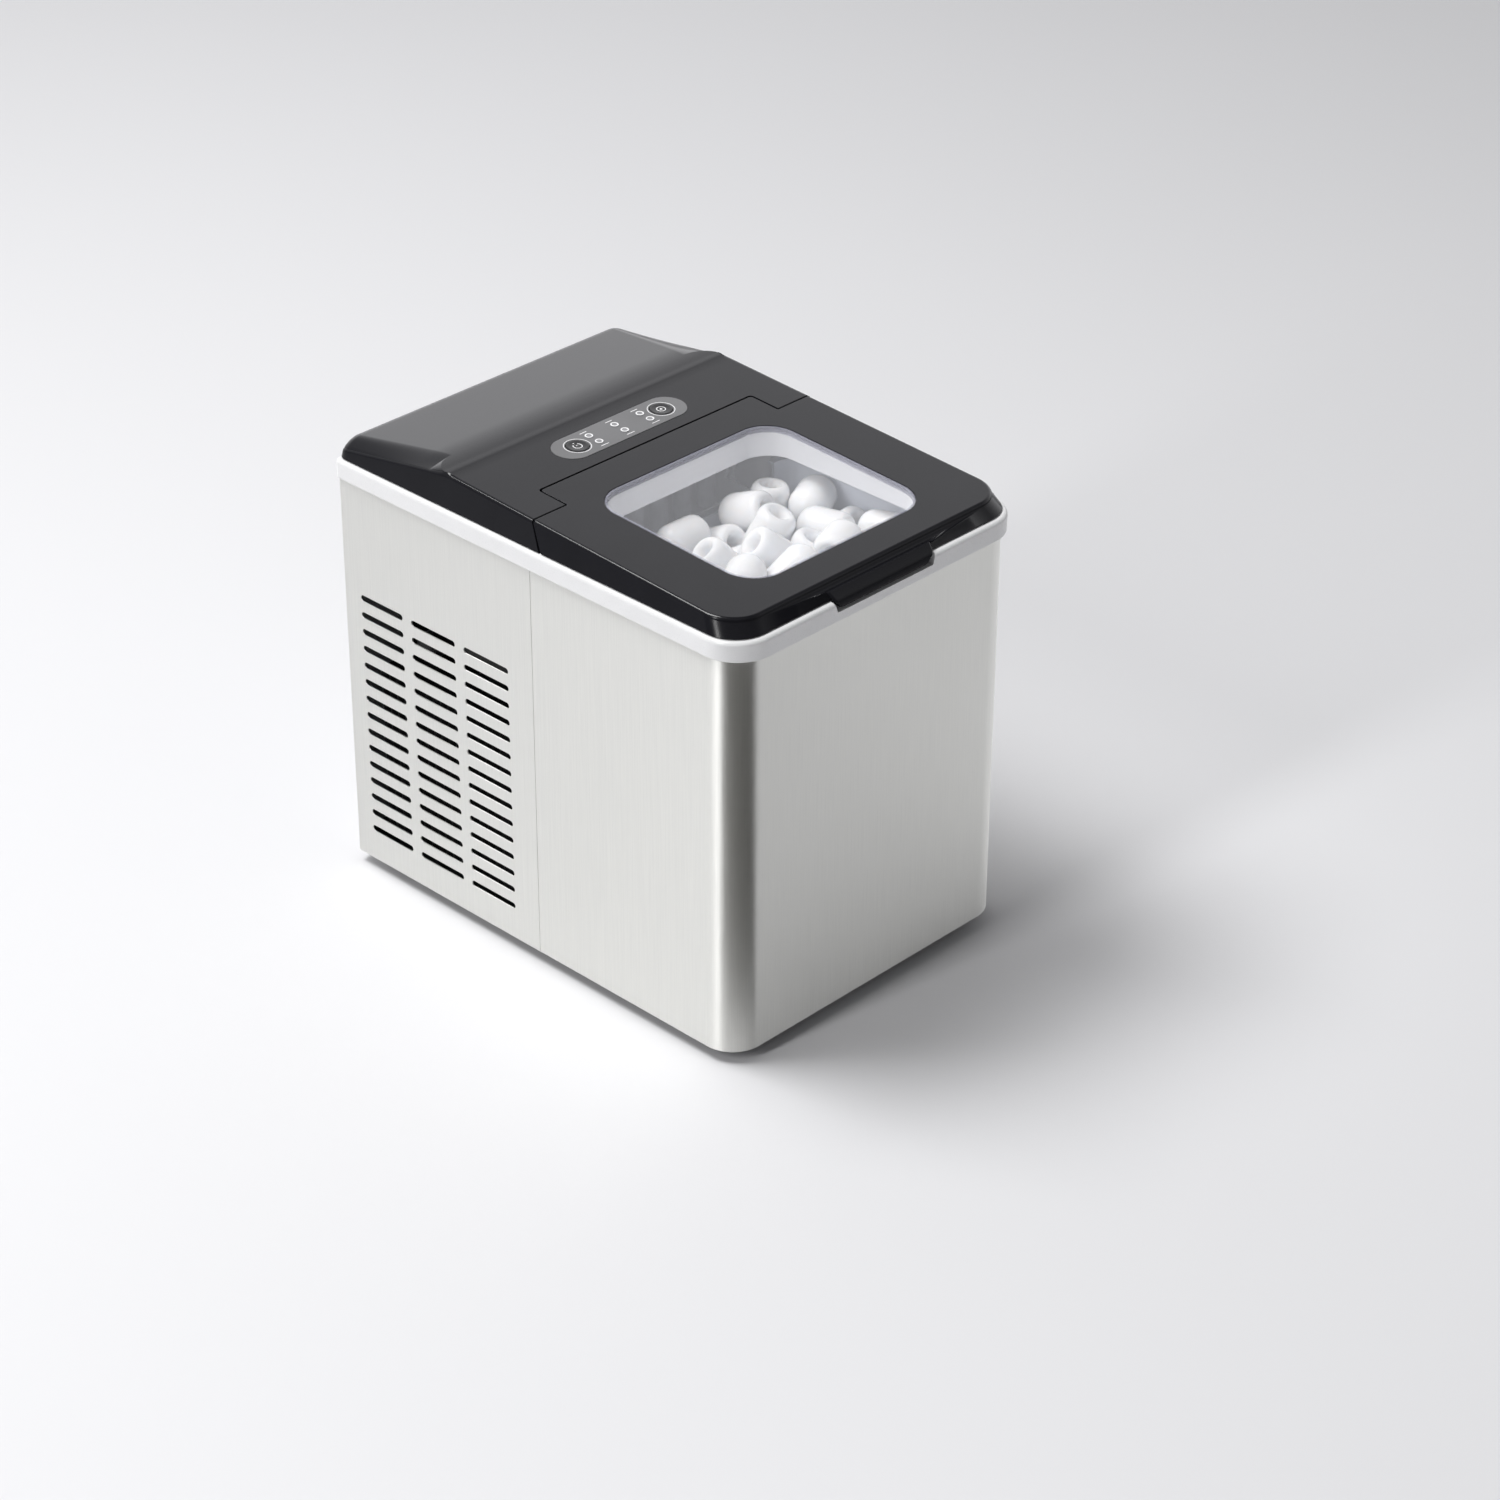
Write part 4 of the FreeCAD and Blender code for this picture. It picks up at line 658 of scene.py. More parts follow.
def paint(surface, *nodes):
    """Gives CAD nodes a surface."""
    for node in nodes:
        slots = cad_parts[node].data.materials
        slots.clear()
        slots.append(surface)


paint(moulded("coated_panel", (0.50, 0.51, 0.51), 0.45, 0.03, 1100.0, 0.03, 0.25, 0.55), "rear_panel")
base_plastic = moulded("base_plastic", (0.028, 0.028, 0.03), 0.5, 0.06, 900.0, 0.04, 0.3)
paint(base_plastic, "base_tray", "drain_cap", "drain_spout", "cord_gland", "board_bracket", "terminal_cover")
rubber = moulded("rubber", (0.022, 0.022, 0.022), 0.78, 0.1, 700.0, 0.05, 0.4)
paint(rubber, "rubber_feet", "compressor_grommets")
screw_steel = moulded("screw_steel", (0.62, 0.61, 0.60), 0.28, 0.06, 1300.0, 0.01, 0.2, 1.0)
paint(screw_steel, "base_screws", "rear_panel_screws", "display_board_screws", "lid_screws")
paint(screw_steel, "board_screws", "hinge_pins")
paint(liner_surface(), "bin_liner")
paint(LINING_WHITE, "water_tray", "tray_shafts", "ice_shovel", "fill_spout", "water_pump")
paint(LINING_WHITE, "pump_impeller", "partition_panel")
silicone = moulded("grey_silicone", (0.52, 0.53, 0.55), 0.55, 0.04, 600.0, 0.03, 0.3)
paint(silicone, "lid_gasket", "pump_hoses", "drain_hose")
paint(foam_surface(), "bin_insulation")
paint(board_surface(), "display_board", "main_board")
paint(moulded("frosted_nickel", (0.80, 0.81, 0.84), 0.55, 0.08, 260.0, 0.3, 0.5, 0.15, 90.0), "evaporator")
nickel = moulded("nickel_plate", (0.68, 0.66, 0.61), 0.22, 0.05, 900.0, 0.02, 0.2, 1.0)
paint(nickel, "evaporator_bracket", "level_probes")
motor_steel = moulded("motor_steel", (0.50, 0.50, 0.51), 0.35, 0.05, 900.0, 0.02, 0.2, 1.0)
paint(motor_steel, "tray_motor", "fan_motor", "compressor_base")
paint(moulded("sensor_plastic", (0.05, 0.02, 0.025), 0.15, 0.08, 1500.0, 0.01, 0.1), "ice_sensors")
pot_paint = moulded("compressor_paint", (0.016, 0.016, 0.017), 0.3, 0.08, 500.0, 0.06, 0.3)
paint(pot_paint, "compressor", "hot_gas_valve", "filter_drier")
# The condenser fins are coloured near black as painted shade, so the vents look dark inside.
paint(moulded("fins_painted_shade", (0.012, 0.012, 0.013), 0.85, 0.12, 600.0, 0.05, 0.3), "condenser_fins")
# The copper tube is darkened far below real copper: painted shade, so it stays dark behind the vents.
paint(moulded("copper", (0.09, 0.05, 0.035), 0.45, 0.12, 500.0, 0.02, 0.25, 1.0), "condenser_tube")
paint(moulded("pipe_lagging", (0.02, 0.02, 0.021), 0.8, 0.12, 500.0, 0.1, 0.5), "refrigerant_lines")
paint(moulded("fan_plastic", (0.03, 0.03, 0.033), 0.45, 0.06, 900.0, 0.03, 0.25), "fan_shroud", "fan_blade")
paint(moulded("basket_plastic", (0.78, 0.81, 0.88), 0.3, 0.02, 1200.0, 0.012, 0.1), "ice_basket")
paint(moulded("lamp_lens", (0.30, 0.30, 0.31), 0.25, 0.04, 900.0, 0.01, 0.08), "indicator_lenses")


# ---------------- steel case
def sheet_edge(z):
    """Cross-section of a sheet standing upright: (outward, height) points, with a rolled lower edge."""
    half = SHEET / 2
    points = [(0.0, z[1]), (0.0, z[0] + half)]
    for k in range(1, 6):
        angle = pi * k / 6
        points.append((-half + half * cos(angle), z[0] + half - half * sin(angle)))
    return points + [(-SHEET, z[0] + half), (-SHEET, z[1])]


def wrap(name, path, section):
    """Sheet that follows a path in plan; each path entry is (x, y, outward x, outward y)."""
    rings = []
    for x, y, nx, ny in path:
        rings.append([(x + nx * out, y + ny * out, z) for out, z in section])
    return loft(name, rings)


def bend(cx, cy, radius, start, end, steps):
    """Path along an arc, with its outward directions."""
    path = []
    for k in range(steps + 1):
        angle = radians(start + (end - start) * k / steps)
        c, s = cos(angle), sin(angle)
        path.append((cx + radius * c, cy + radius * s, c, s))
    return path


def build_side_panel(side, label):
    """Flat side with its vents, the bend and flange at the back, and the lap behind the seam."""
    start = SEAM_Y + SEAM_HALF_GAP
    bend_y = BODY_HALF_Y - REAR_R
    loops = [[(start, STEEL_Z[0]), (bend_y, STEEL_Z[0]), (bend_y, STEEL_Z[1]), (start, STEEL_Z[1])]]
    for row in range(SLOT_ROWS):
        z = SLOT_LOW + row * SLOT_PITCH
        loops += [stadium((y0 + y1) / 2, z, y1 - y0, SLOT_H, 6) for y0, y1 in SLOT_COLUMNS]
    middle = BODY_HALF_X - SHEET / 2
    plate = filled(label + "_plate", loops, SHEET, 0.15, lambda u, v, w: (side * (middle + w), u, v))
    path = bend(BODY_HALF_X - REAR_R, bend_y, REAR_R, 0, 90, 10)
    path.append((BODY_HALF_X - FLANGE, BODY_HALF_Y, 0, 1))
    path = [(side * x, y, side * nx, ny) for x, y, nx, ny in path]
    corner = wrap(label + "_bend", path, sheet_edge(STEEL_Z))
    for z in SCREW_Z:
        x = side * SCREW_X
        combine(corner, rod_piece("hole", (x, 160, z), (x, 175, z), SCREW_HOLE_R, 24))
    inner = BODY_HALF_X - SHEET
    lap_x = sorted((side * inner, side * (inner - SHEET)))
    lap = box_piece(label + "_lap", lap_x, LAP_Y, (LAP_LOW, STEEL_Z[1]))
    panel = joined(label + "_side_skin", [plate, corner, lap])
    dress(panel, STEEL, "case", "brushed_steel", label + "_side_panel")


def build_case():
    centre_x = BODY_HALF_X - FRONT_R
    centre_y = -BODY_HALF_Y + FRONT_R
    seam = SEAM_Y - SEAM_HALF_GAP
    path = [(-BODY_HALF_X, seam, -1, 0)]
    path += bend(-centre_x, centre_y, FRONT_R, 180, 270, 40)
    path += bend(centre_x, centre_y, FRONT_R, 270, 360, 40)
    path.append((BODY_HALF_X, seam, 1, 0))
    shell = wrap("front_wrap", path, sheet_edge(STEEL_Z))
    dress(shell, STEEL, "case", "brushed_steel", "front_shell")
    build_side_panel(-1, "left")
    build_side_panel(1, "right")


def build_shade_screen():
    """Black sheet behind the rear panel's vents, standing in for shade: it keeps the machine's inside dark."""
    screen = box_piece("rear_shade_screen", SHADE_SCREEN_X, SHADE_SCREEN_Y, SHADE_SCREEN_Z)
    dress(screen, moulded("shade_cloth", (0.012, 0.012, 0.012), 0.9, 0.2, 900.0, 0.1, 0.5), "case", "foam")


# ---------------- white rim
def build_rim():
    def ring(inset, z):
        y = (RIM_Y[0] + inset, RIM_Y[1] - inset)
        return level(rectangle(RIM_X - inset, y, (RIM_R[0] - inset, RIM_R[1] - inset)), z)

    low = STEEL_Z[1]
    rings = [ring(inset, low + rise) for inset, rise in quarter(RIM_FOOT_R, 3)]
    rings += [ring(inset, RIM_TOP - drop) for drop, inset in quarter(RIM_LIP_R, 8)]
    for out, drop, rounder in MOUTH_EDGE:
        y = (MOUTH_Y[0] - out, MOUTH_Y[1] + out)
        radii = (MOUTH_R[0] + rounder, MOUTH_R[1] + rounder)
        rings.append(level(rectangle(MOUTH_X + out, y, radii), RIM_TOP - drop))
    rings.append(level(rectangle(MOUTH_X, MOUTH_Y, MOUTH_R), LEDGE_Z))
    rings += [level(rectangle(HOLE_X, HOLE_Y, HOLE_R), z) for z in (LEDGE_Z, low)]
    outer_x = BODY_HALF_X - SHEET - SKIRT_GAP
    outer_y = BODY_HALF_Y - SHEET - SKIRT_GAP
    for inset, z in ((SKIRT_T, low), (SKIRT_T, SKIRT_LOW), (0.0, SKIRT_LOW), (0.0, low)):
        y = (inset - outer_y, outer_y - inset)
        rings.append(level(rectangle(outer_x - inset, y, (SKIRT_R[0] - inset, SKIRT_R[1])), z))
    rim = loft("rim_moulding", rings, closed=True)
    for side in (-1, 1):
        room_x = sorted((side * LAP_ROOM_X, side * (BODY_HALF_X + 1)))
        combine(rim, box_piece("lap_room", room_x, LAP_ROOM_Y, (200, low - 0.01)))
    wide = RECESS_HALF + RECESS_LEAN * RECESS_LIFT
    top = LEDGE_Z + RECESS_LIFT
    corners = [(-RECESS_HALF, LEDGE_Z, 1.2), (RECESS_HALF, LEDGE_Z, 1.2), (wide, top, 1.0), (-wide, top, 1.0)]
    outline = rounded(corners, (6, 6, 2, 2))
    combine(rim, loft("recess", [[(x, y, z) for x, z in outline] for y in (RIM_Y[0] - 5, RECESS_REAR)]))
    dress(rim, RIM_WHITE, "case", "rim_plastic", "top_rim", sharp=40.0)


# ---------------- covers on top
def plane_z(y):
    return ROOF_Z + ROOF_RISE * y


def roof_z(y):
    """Height of the top skin's middle, with a softened ridge."""
    front = plane_z(y)
    back = plane_z(RIDGE_Y) - BACK_FALL * (y - RIDGE_Y)
    share = max(0.0, 1 - abs(front - back) / RIDGE_SOFT) ** 2
    return min(front, back) - share * RIDGE_SOFT / 4


def hip_width(y):
    if y <= HIP_Y:
        return 1.0
    if y < HIP_Y + HIP_R:
        along = y - HIP_Y
        return max(1.0, HIP_R - sqrt(HIP_R ** 2 - along ** 2))
    share = (y - HIP_Y - HIP_R) / (COVER_REAR - HIP_Y - HIP_R)
    return HIP_R + (HIP_REAR_W - HIP_R) * share


def cover_section(y, lower, inset, foot):
    """Closed outline across the machine at y: side, softened crease, hip and roof."""
    roof = roof_z(y)
    edge = min(roof, plane_z(HIP_Y) - HIP_FALL * (y - HIP_Y))
    back = min(1.0, max(0.0, (y - RIDGE_Y) / (COVER_REAR - RIDGE_Y)))
    power = HIP_POWER[0] + HIP_POWER[1] * back
    edge_x = COVER_HALF - SIDE_INSET * min(1.0, (edge - COVER_LOW) / (ROOF_Z - COVER_LOW))
    if y < HIP_Y:
        edge_x = COVER_HALF - SIDE_INSET
    width = hip_width(y)
    crease_r = CREASE_R - CREASE_LOSS * min(1.0, max(0.0, y - HIP_Y) / HIP_R)
    low_x = COVER_HALF - inset
    half = [(low_x, foot)]
    if foot > COVER_LOW - 1:
        half = [(low_x - FOOT_EDGE_R * across, foot + FOOT_EDGE_R * along) for across, along in SOFT]
    wall = Vector((low_x - (edge_x - inset), COVER_LOW - (edge - lower))).normalized()
    hip_points = []
    for step in range(1, HIP_STEPS + 1):
        share = 1.0 - step / HIP_STEPS
        height = roof - (roof - edge) * share ** power
        hip_points.append((edge_x - inset - width * (1.0 - share), height - lower))
    edge_point = Vector((edge_x - inset, edge - lower))
    far = Vector(hip_points[-1])
    if y < HIP_Y + 2:
        far = edge_point + Vector((-10.0, 0.0))
    along = (far - edge_point).normalized()
    start = edge_point + wall * crease_r
    end = edge_point + along * crease_r
    for k in range(7):
        t = k / 6
        point = start * (1 - t) ** 2 + edge_point * (2 * t * (1 - t)) + end * t ** 2
        half.append((point.x, point.y))
    limit = end.x
    for x, z in hip_points:
        if x >= limit - 0.02:
            limit -= 0.02
            x = limit
            z = end.y + (z - end.y) * 0.5
        half.append((x, z))
    left = [(-x, z) for x, z in reversed(half)]
    return [(x, y, z) for x, z in half + left]


def cover_stations(front, rear):
    """Where the cover's sections stand, closer together at the hip and the ridge."""
    stations = [front, 20.0, 45.0, HIP_Y - 6, HIP_Y]
    stations += [HIP_Y + HIP_R * sin(pi / 2 * k / HIP_STEPS) for k in range(1, HIP_STEPS + 1)]
    stations += [RIDGE_Y + RIDGE_STATION * k for k in range(1, 10)]
    y = REAR_STATIONS[0]
    while y < rear - 3.2:
        stations.append(y)
        y += REAR_STATIONS[1]
    return stations


def seam_y(z, gap):
    return EAR_LOW_Y + SEAM_RUN * (z - RIM_TOP) + gap


def ear_cutter(gap, front=-60.0):
    """Everything in front of the seam at the sides, and the tab's room in the middle."""
    low, high = 270.0, 330.0
    outline = [(front, low), (seam_y(low, gap), low), (seam_y(high, gap), high), (front, high)]
    wedge = prism_along_x("wedge", outline, (-140.0, 140.0))
    tab = rectangle(TAB_HALF + gap, (front, TAB_REAR + gap), (1, TAB_ROOM_R), (2, 8))
    return wedge, loft("room", [level(tab, z) for z in (low, high)])


def build_rear_cover():
    start = COVER_REAR - REAR_SOFT
    sections = [cover_section(y, 0, 0, COVER_LOW) for y in cover_stations(-30.0, start)]
    base = cover_section(start, 0, 0, COVER_LOW)
    top = base[len(base) // 2][2]
    for k in range(REAR_STEPS + 1):
        angle = pi / 2 * k / REAR_STEPS
        sink = REAR_SOFT * (1 - cos(angle))
        y = start + REAR_SOFT * sin(angle)
        ring = []
        for x, _, z in base:
            share = (z - COVER_LOW) / (top - COVER_LOW)
            side = (abs(x) / COVER_HALF) ** REAR_SIDE_POWER
            pull = sink * (REAR_SIDE_SHARE + (1 - REAR_SIDE_SHARE) * share) * side
            drop = (BACK_FALL * (y - start) + sink * REAR_DROP_SHARE) * share
            ring.append((x - copysign(pull, x), y, z - drop))
        sections.append(ring)
    outer = loft("rear_cover_skin", sections)
    hollow_rear = COVER_REAR - COVER_WALL
    stations = cover_stations(-20.0, hollow_rear) + [hollow_rear]
    inner = loft("hollow", [cover_section(y, COVER_WALL, COVER_WALL, 280.0) for y in stations])
    for tool in ear_cutter(COVER_WALL):
        combine(inner, tool)
    for tool in ear_cutter(0.0):
        combine(outer, tool)
    combine(outer, inner)
    holes = [(stadium(0, PANEL_Y, PANEL_W, PANEL_H, 24), DEPTHS[0])]
    holes += [(circle(x, PANEL_Y, BUTTON_HOLE_R), DEPTHS[1]) for x in BUTTON_X]
    holes += [(circle(x, y, LAMP_R, 24), DEPTHS[2]) for x, y in LAMP_PLACES]
    for loop, depth in holes:
        combine(outer, on_roof(loft("drill", [level(loop, -depth), level(loop, 3.0)])))
    dress(outer, TOP_BLACK, "case", "cover_plastic", "rear_cover", sharp=38.0)


def lid_ring(z_share, inset, sink):
    """Closed outline of the lid with its tab. z_share is 0 at the foot and 1 at the top plane; the top edge's
    rounding moves it inwards and down, less at the seam than at the sides and front."""
    edge_share = SEAM_EDGE_R / LID_EDGE_R
    seam_inset = inset * edge_share
    half = COVER_HALF - SIDE_INSET * z_share - inset
    front = LID_FRONT[0] + (LID_FRONT[1] - LID_FRONT[0]) * z_share + inset
    rear = seam_y(COVER_LOW + (ROOF_Z - COVER_LOW) * z_share, -LID_GAP) - seam_inset
    tab = TAB_HALF - LID_GAP - seam_inset
    tab_rear = TAB_REAR - LID_GAP - seam_inset
    radius = LID_R - inset
    corners = [(-half, rear, 1.0), (-half, front, radius), (half, front, radius), (half, rear, 1.0)]
    corners += [(tab, rear, 1.2), (tab, tab_rear, 2.0), (-tab, tab_rear, 2.0), (-tab, rear, 1.2)]
    points = iter(rounded(corners, LID_CORNER_STEPS))
    ring = []
    for corner, count in enumerate(LID_CORNER_STEPS):
        for k in range(count + 1):
            x, y = next(points)
            at_seam = corner >= 4 or (corner == 3 and k >= count / 2) or (corner == 0 and k <= count / 2)
            drop = sink * (edge_share if at_seam else 1.0)
            ring.append((x, y, COVER_LOW + (plane_z(y) - COVER_LOW) * z_share - drop))
    return ring


def lid_room(z_share, drop):
    """Outline of the space inside the lid."""
    half = COVER_HALF - SIDE_INSET * z_share - COVER_WALL
    front = LID_FRONT[0] + (LID_FRONT[1] - LID_FRONT[0]) * z_share + COVER_WALL
    rear = min(LID_BACK - COVER_WALL, seam_y(COVER_LOW + 18 * z_share, -LID_GAP - COVER_WALL))
    points = rectangle(half, (front, rear), (LID_R - COVER_WALL, 1), (20, 3))
    return [(x, y, COVER_LOW + (plane_z(y) - COVER_LOW) * z_share - drop) for x, y in points]


def window_outline(grow):
    """Outline of the window's hole, moved outwards by grow."""
    y = (WINDOW_Y[0] - grow, WINDOW_Y[1] + grow)
    return rectangle(WINDOW_X + grow, y, (WINDOW_R + grow,) * 2, (28, 28))


def under_roof(points, depth):
    return [(x, y, plane_z(y) - depth) for x, y in points]


def hinge_rod(name, side, x, radius, sides):
    """Round bar on the hinge line, on one side of the lid."""
    return rod_piece(name, *[(side * end, HINGE_Y, HINGE_Z) for end in x], radius, sides)


def grip_block():
    rings = []
    for inset, z in [(inset, GRIP_LOW + rise) for inset, rise in quarter(GRIP_SOFT, 5)] + GRIP_ROOT:
        half = GRIP_HALF[0] + (GRIP_HALF[1] - GRIP_HALF[0]) * (z - GRIP_LOW) / GRIP_LEAN_Z - inset * 0.5
        rings.append(level(rectangle(half, (GRIP_Y[0] + inset, GRIP_Y[1]), (2.0, 0.8), (8, 3)), z))
    return loft("grip", rings)


def build_lid():
    rings = []
    for inset, rise in quarter(FOOT_EDGE_R, 3):
        rings.append([(x, y, z + rise) for x, y, z in lid_ring(0.0, inset, 0.0)])
    rings += [lid_ring(1.0, inset, drop) for drop, inset in quarter(LID_EDGE_R, 8)]
    lid = loft("lid_skin", rings)
    combine(lid, loft("hollow", [lid_room(0.0, 8.0), lid_room(1.0, COVER_WALL)]))
    combine(lid, box_piece("under_tab", (-140, 140), (LID_BACK, 40), (270, TAB_UNDER)))
    window = [level(window_outline(0.0), 280.0)]
    for across, along in SOFT[::-1] + ((3.0, -4.0),):
        window.append(under_roof(window_outline(WINDOW_SOFT * across), WINDOW_SOFT * along))
    combine(lid, loft("window_hole", window))
    for side in (-1, 1):
        combine(lid, hinge_rod("knuckle", side, KNUCKLE_X, KNUCKLE_R, 40), "UNION")
        web_x = sorted((side * (KNUCKLE_X[0] + 0.01), side * (KNUCKLE_X[1] - 0.01)))
        web_y = (HINGE_Y - WEB_HALF_Y, HINGE_Y + WEB_HALF_Y)
        combine(lid, box_piece("web", web_x, web_y, (HINGE_Z, WEB_TOP)), "UNION")
        combine(lid, hinge_rod("pin_hole", side, PIN_HOLE_X, PIN_HOLE_R, 32))
    combine(lid, grip_block(), "UNION")
    dress(lid, TOP_BLACK, "lid", "cover_plastic", "lid_frame", sharp=38.0)


def build_lining():
    rings = []
    for across, along in SOFT:
        outline = window_outline(COLLAR_SOFT * across - COLLAR_IN)
        rings.append(level(outline, COLLAR_Z[0] + COLLAR_SOFT * along))
    y = (WINDOW_Y[0] - COLLAR_WALL, COLLAR_REAR)
    collar = rectangle(WINDOW_X + COLLAR_WALL, y, (WINDOW_R + COLLAR_WALL / 2,) * 2, (28, 28))
    plate = rectangle(LINING_X, LINING_Y, LINING_R, (28, 28))
    rings += [under_roof(window_outline(-COLLAR_IN), WINDOW_T), under_roof(collar, WINDOW_T)]
    rings += [level(collar, COLLAR_Z[1]), level(plate, COLLAR_Z[1]), level(plate, COLLAR_Z[0])]
    lining = loft("lid_lining", rings, closed=True)
    for side in (-1, 1):
        room_x = sorted(side * x for x in EAR_ROOM_X)
        combine(lining, box_piece("ear_room", room_x, EAR_ROOM_Y, (280.0, 320.0)))
    dress(lining, LINING_WHITE, "lid", "white_plastic", "lid_inner_frame", sharp=38.0)


def build_window():
    def at(inset, depth):
        return under_roof(window_outline(-PANE_GAP - inset), depth)

    pane = loft("window_pane", [at(PANE_EDGE_W, depth) for depth in (WINDOW_T, PANE_SOFT, 0.02)])
    dress(pane, PANE, "lid", "window_clear", "lid_window")
    rings = [at(PANE_EDGE_W, 0.0)]
    rings += [at(PANE_SOFT * across, PANE_SOFT * along) for across, along in SOFT]
    rings += [at(0, WINDOW_T), at(PANE_EDGE_W, WINDOW_T)]
    dress(loft("window_edge", rings, closed=True), PANE_EDGE, "lid", "window_clear")


# ---------------- control panel
def flat_ring(cx, cy, r0, r1, z, start=0.0, end=360.0, steps=48):
    """Thin printed ring or arc."""
    whole = end - start >= 360
    rings = []
    count = steps if whole else steps + 1
    for k in range(count):
        angle = radians(start + (end - start) * k / steps)
        c, s = cos(angle), sin(angle)
        section = ((r0, z[0]), (r1, z[0]), (r1, z[1]), (r0, z[1]))
        rings.append([(cx + r * c, cy + r * s, h) for r, h in section])
    return loft("ring", rings, closed=whole)


def printed_bar(cx, cy, width, height, z):
    points = stadium(cx, cy, width, height, 5)
    return loft("bar", [level(points, z[0]), level(points, z[1])])


def build_overlay():
    """Film with its holes, and the rings and bars printed on it."""
    loops = [stadium(0, PANEL_Y, PANEL_W - 2 * FILM_GAP, PANEL_H - 2 * FILM_GAP, 24)]
    loops += [circle(x, PANEL_Y, BUTTON_HOLE_R) for x in BUTTON_X]
    loops += [circle(x, y, LAMP_WINDOW_R, 24) for x, y in LAMP_PLACES]
    film = filled("panel_film", loops, FILM_T, 0.12, lambda u, v, w: (u, v, w + FILM_TOP - FILM_T / 2))
    dress(on_roof(film), OVERLAY_GREY, "case", "overlay_film", "control_overlay")
    marks = [flat_ring(x, PANEL_Y, *BUTTON_RING, INK_Z) for x in BUTTON_X]
    marks += [flat_ring(x, y, *LAMP_RING, LAMP_INK_Z, steps=32) for x, y in LAMP_PLACES]
    for x in LAMP_X:
        marks += [printed_bar(x, PANEL_Y + dy, width, LEGEND_H, INK_Z) for dy, width in LEGENDS]
    dress(on_roof(joined("panel_prints", marks)), PRINT_WHITE, "case", "overlay_film")


def build_buttons():
    flange = BUTTON_HOLE_R + 1.2
    profile = [(2.5, -9.0), (2.5, -4.0), (flange, -4.0), (flange, -2.8), (BUTTON_R, -2.8)]
    profile += [(BUTTON_R, 0.05), (BUTTON_R - 0.12, 0.3), (BUTTON_R - 0.5, 0.45)]
    profile += [(BUTTON_R - 1.4, 0.40), (4.0, 0.22), (0.4, 0.12)]
    for x, label in zip(BUTTON_X, ("power", "select")):
        cap = loft(label + "_key", [level(circle(x, PANEL_Y, r, 56), z) for r, z in profile])
        dress(on_roof(cap), BUTTON_GREY, label + "_button", "overlay_film", label + "_button")
        if label == "power":
            marks = [flat_ring(x, PANEL_Y - 0.2, *ICON_R, ICON_Z, 125, 415)]
            marks.append(printed_bar(x, PANEL_Y + 2.2, 0.6, 3.4, ICON_Z))
        else:
            marks = [flat_ring(x, PANEL_Y, *radii, ICON_Z) for radii in (ICON_R, ICON_DOT_R)]
        dress(on_roof(joined(label + "_icon", marks)), PRINT_WHITE, label + "_button", "overlay_film")


# ---------------- ice
def settle_ice():
    """Drops rods with round ends into the basket until they rest on each other. Returns their end points."""
    draw = np.random.default_rng(ICE_SEED)
    reach = ICE_LENGTH - 2 * ICE_R
    low = np.array([-BASKET_IN_X + ICE_R, BASKET_IN_Y[0] + ICE_R, BASKET_FLOOR + ICE_R])
    high = np.array([BASKET_IN_X - ICE_R, BASKET_IN_Y[1] - ICE_R, 1000.0])
    centre = np.empty((ICE_COUNT, 3))
    start = np.array([*ICE_START, low[2] + 6])
    for i in range(ICE_COUNT):
        layer, place = divmod(i, ICE_GRID[0] * ICE_GRID[1])
        row, column = divmod(place, ICE_GRID[0])
        centre[i] = start + np.array([column, row, layer]) * ICE_SPACING
    centre[:, :2] += draw.uniform(-5, 5, (ICE_COUNT, 2))
    heading = draw.normal(size=(ICE_COUNT, 3))
    heading[:, 2] *= 0.55
    heading /= np.linalg.norm(heading, axis=1)[:, None]
    ends = np.stack([centre - heading * reach / 2, centre + heading * reach / 2])
    owner = np.repeat(np.arange(ICE_COUNT), 3)
    share = np.tile([0.0, 0.5, 1.0], ICE_COUNT)
    apart = owner[:, None] != owner[None, :]
    steps = ICE_STEPS
    for step in range(steps + steps // 5):
        if step < steps:
            ends[:, :, 2] -= ICE_FALL / steps * (1 - step / steps)
        ceiling = ICE_TOP - ICE_R + max(0.0, LID_PRESS * (1 - step / (0.8 * steps)))
        for _ in range(3):
            balls = ends[0][owner] * (1 - share)[:, None] + ends[1][owner] * share[:, None]
            gap = balls[:, None, :] - balls[None, :, :]
            distance = np.linalg.norm(gap, axis=2) + 1e-9
            depth = np.where(apart, np.clip(2 * ICE_R - distance, 0, None), 0)
            push = (gap / distance[..., None] * depth[..., None] * ICE_PUSH).sum(axis=1)
            for end, weight in ((0, 1 - share), (1, share)):
                np.add.at(ends[end], owner, push * weight[:, None])
            ends = np.clip(ends, low, high)
            x, y = ends[:, :, 0], ends[:, :, 1]
            under_window = (np.abs(x) < ICE_CROWN_X) & (y > ICE_CROWN_Y[0]) & (y < ICE_CROWN_Y[1])
            ends[:, :, 2] = np.minimum(ends[:, :, 2], ceiling + ICE_CROWN * under_window)
            middle = ends.mean(axis=0)
            arm = ends[1] - middle
            arm *= (reach / 2) / (np.linalg.norm(arm, axis=1)[:, None] + 1e-9)
            ends = np.stack([middle - arm, middle + arm])
    return ends


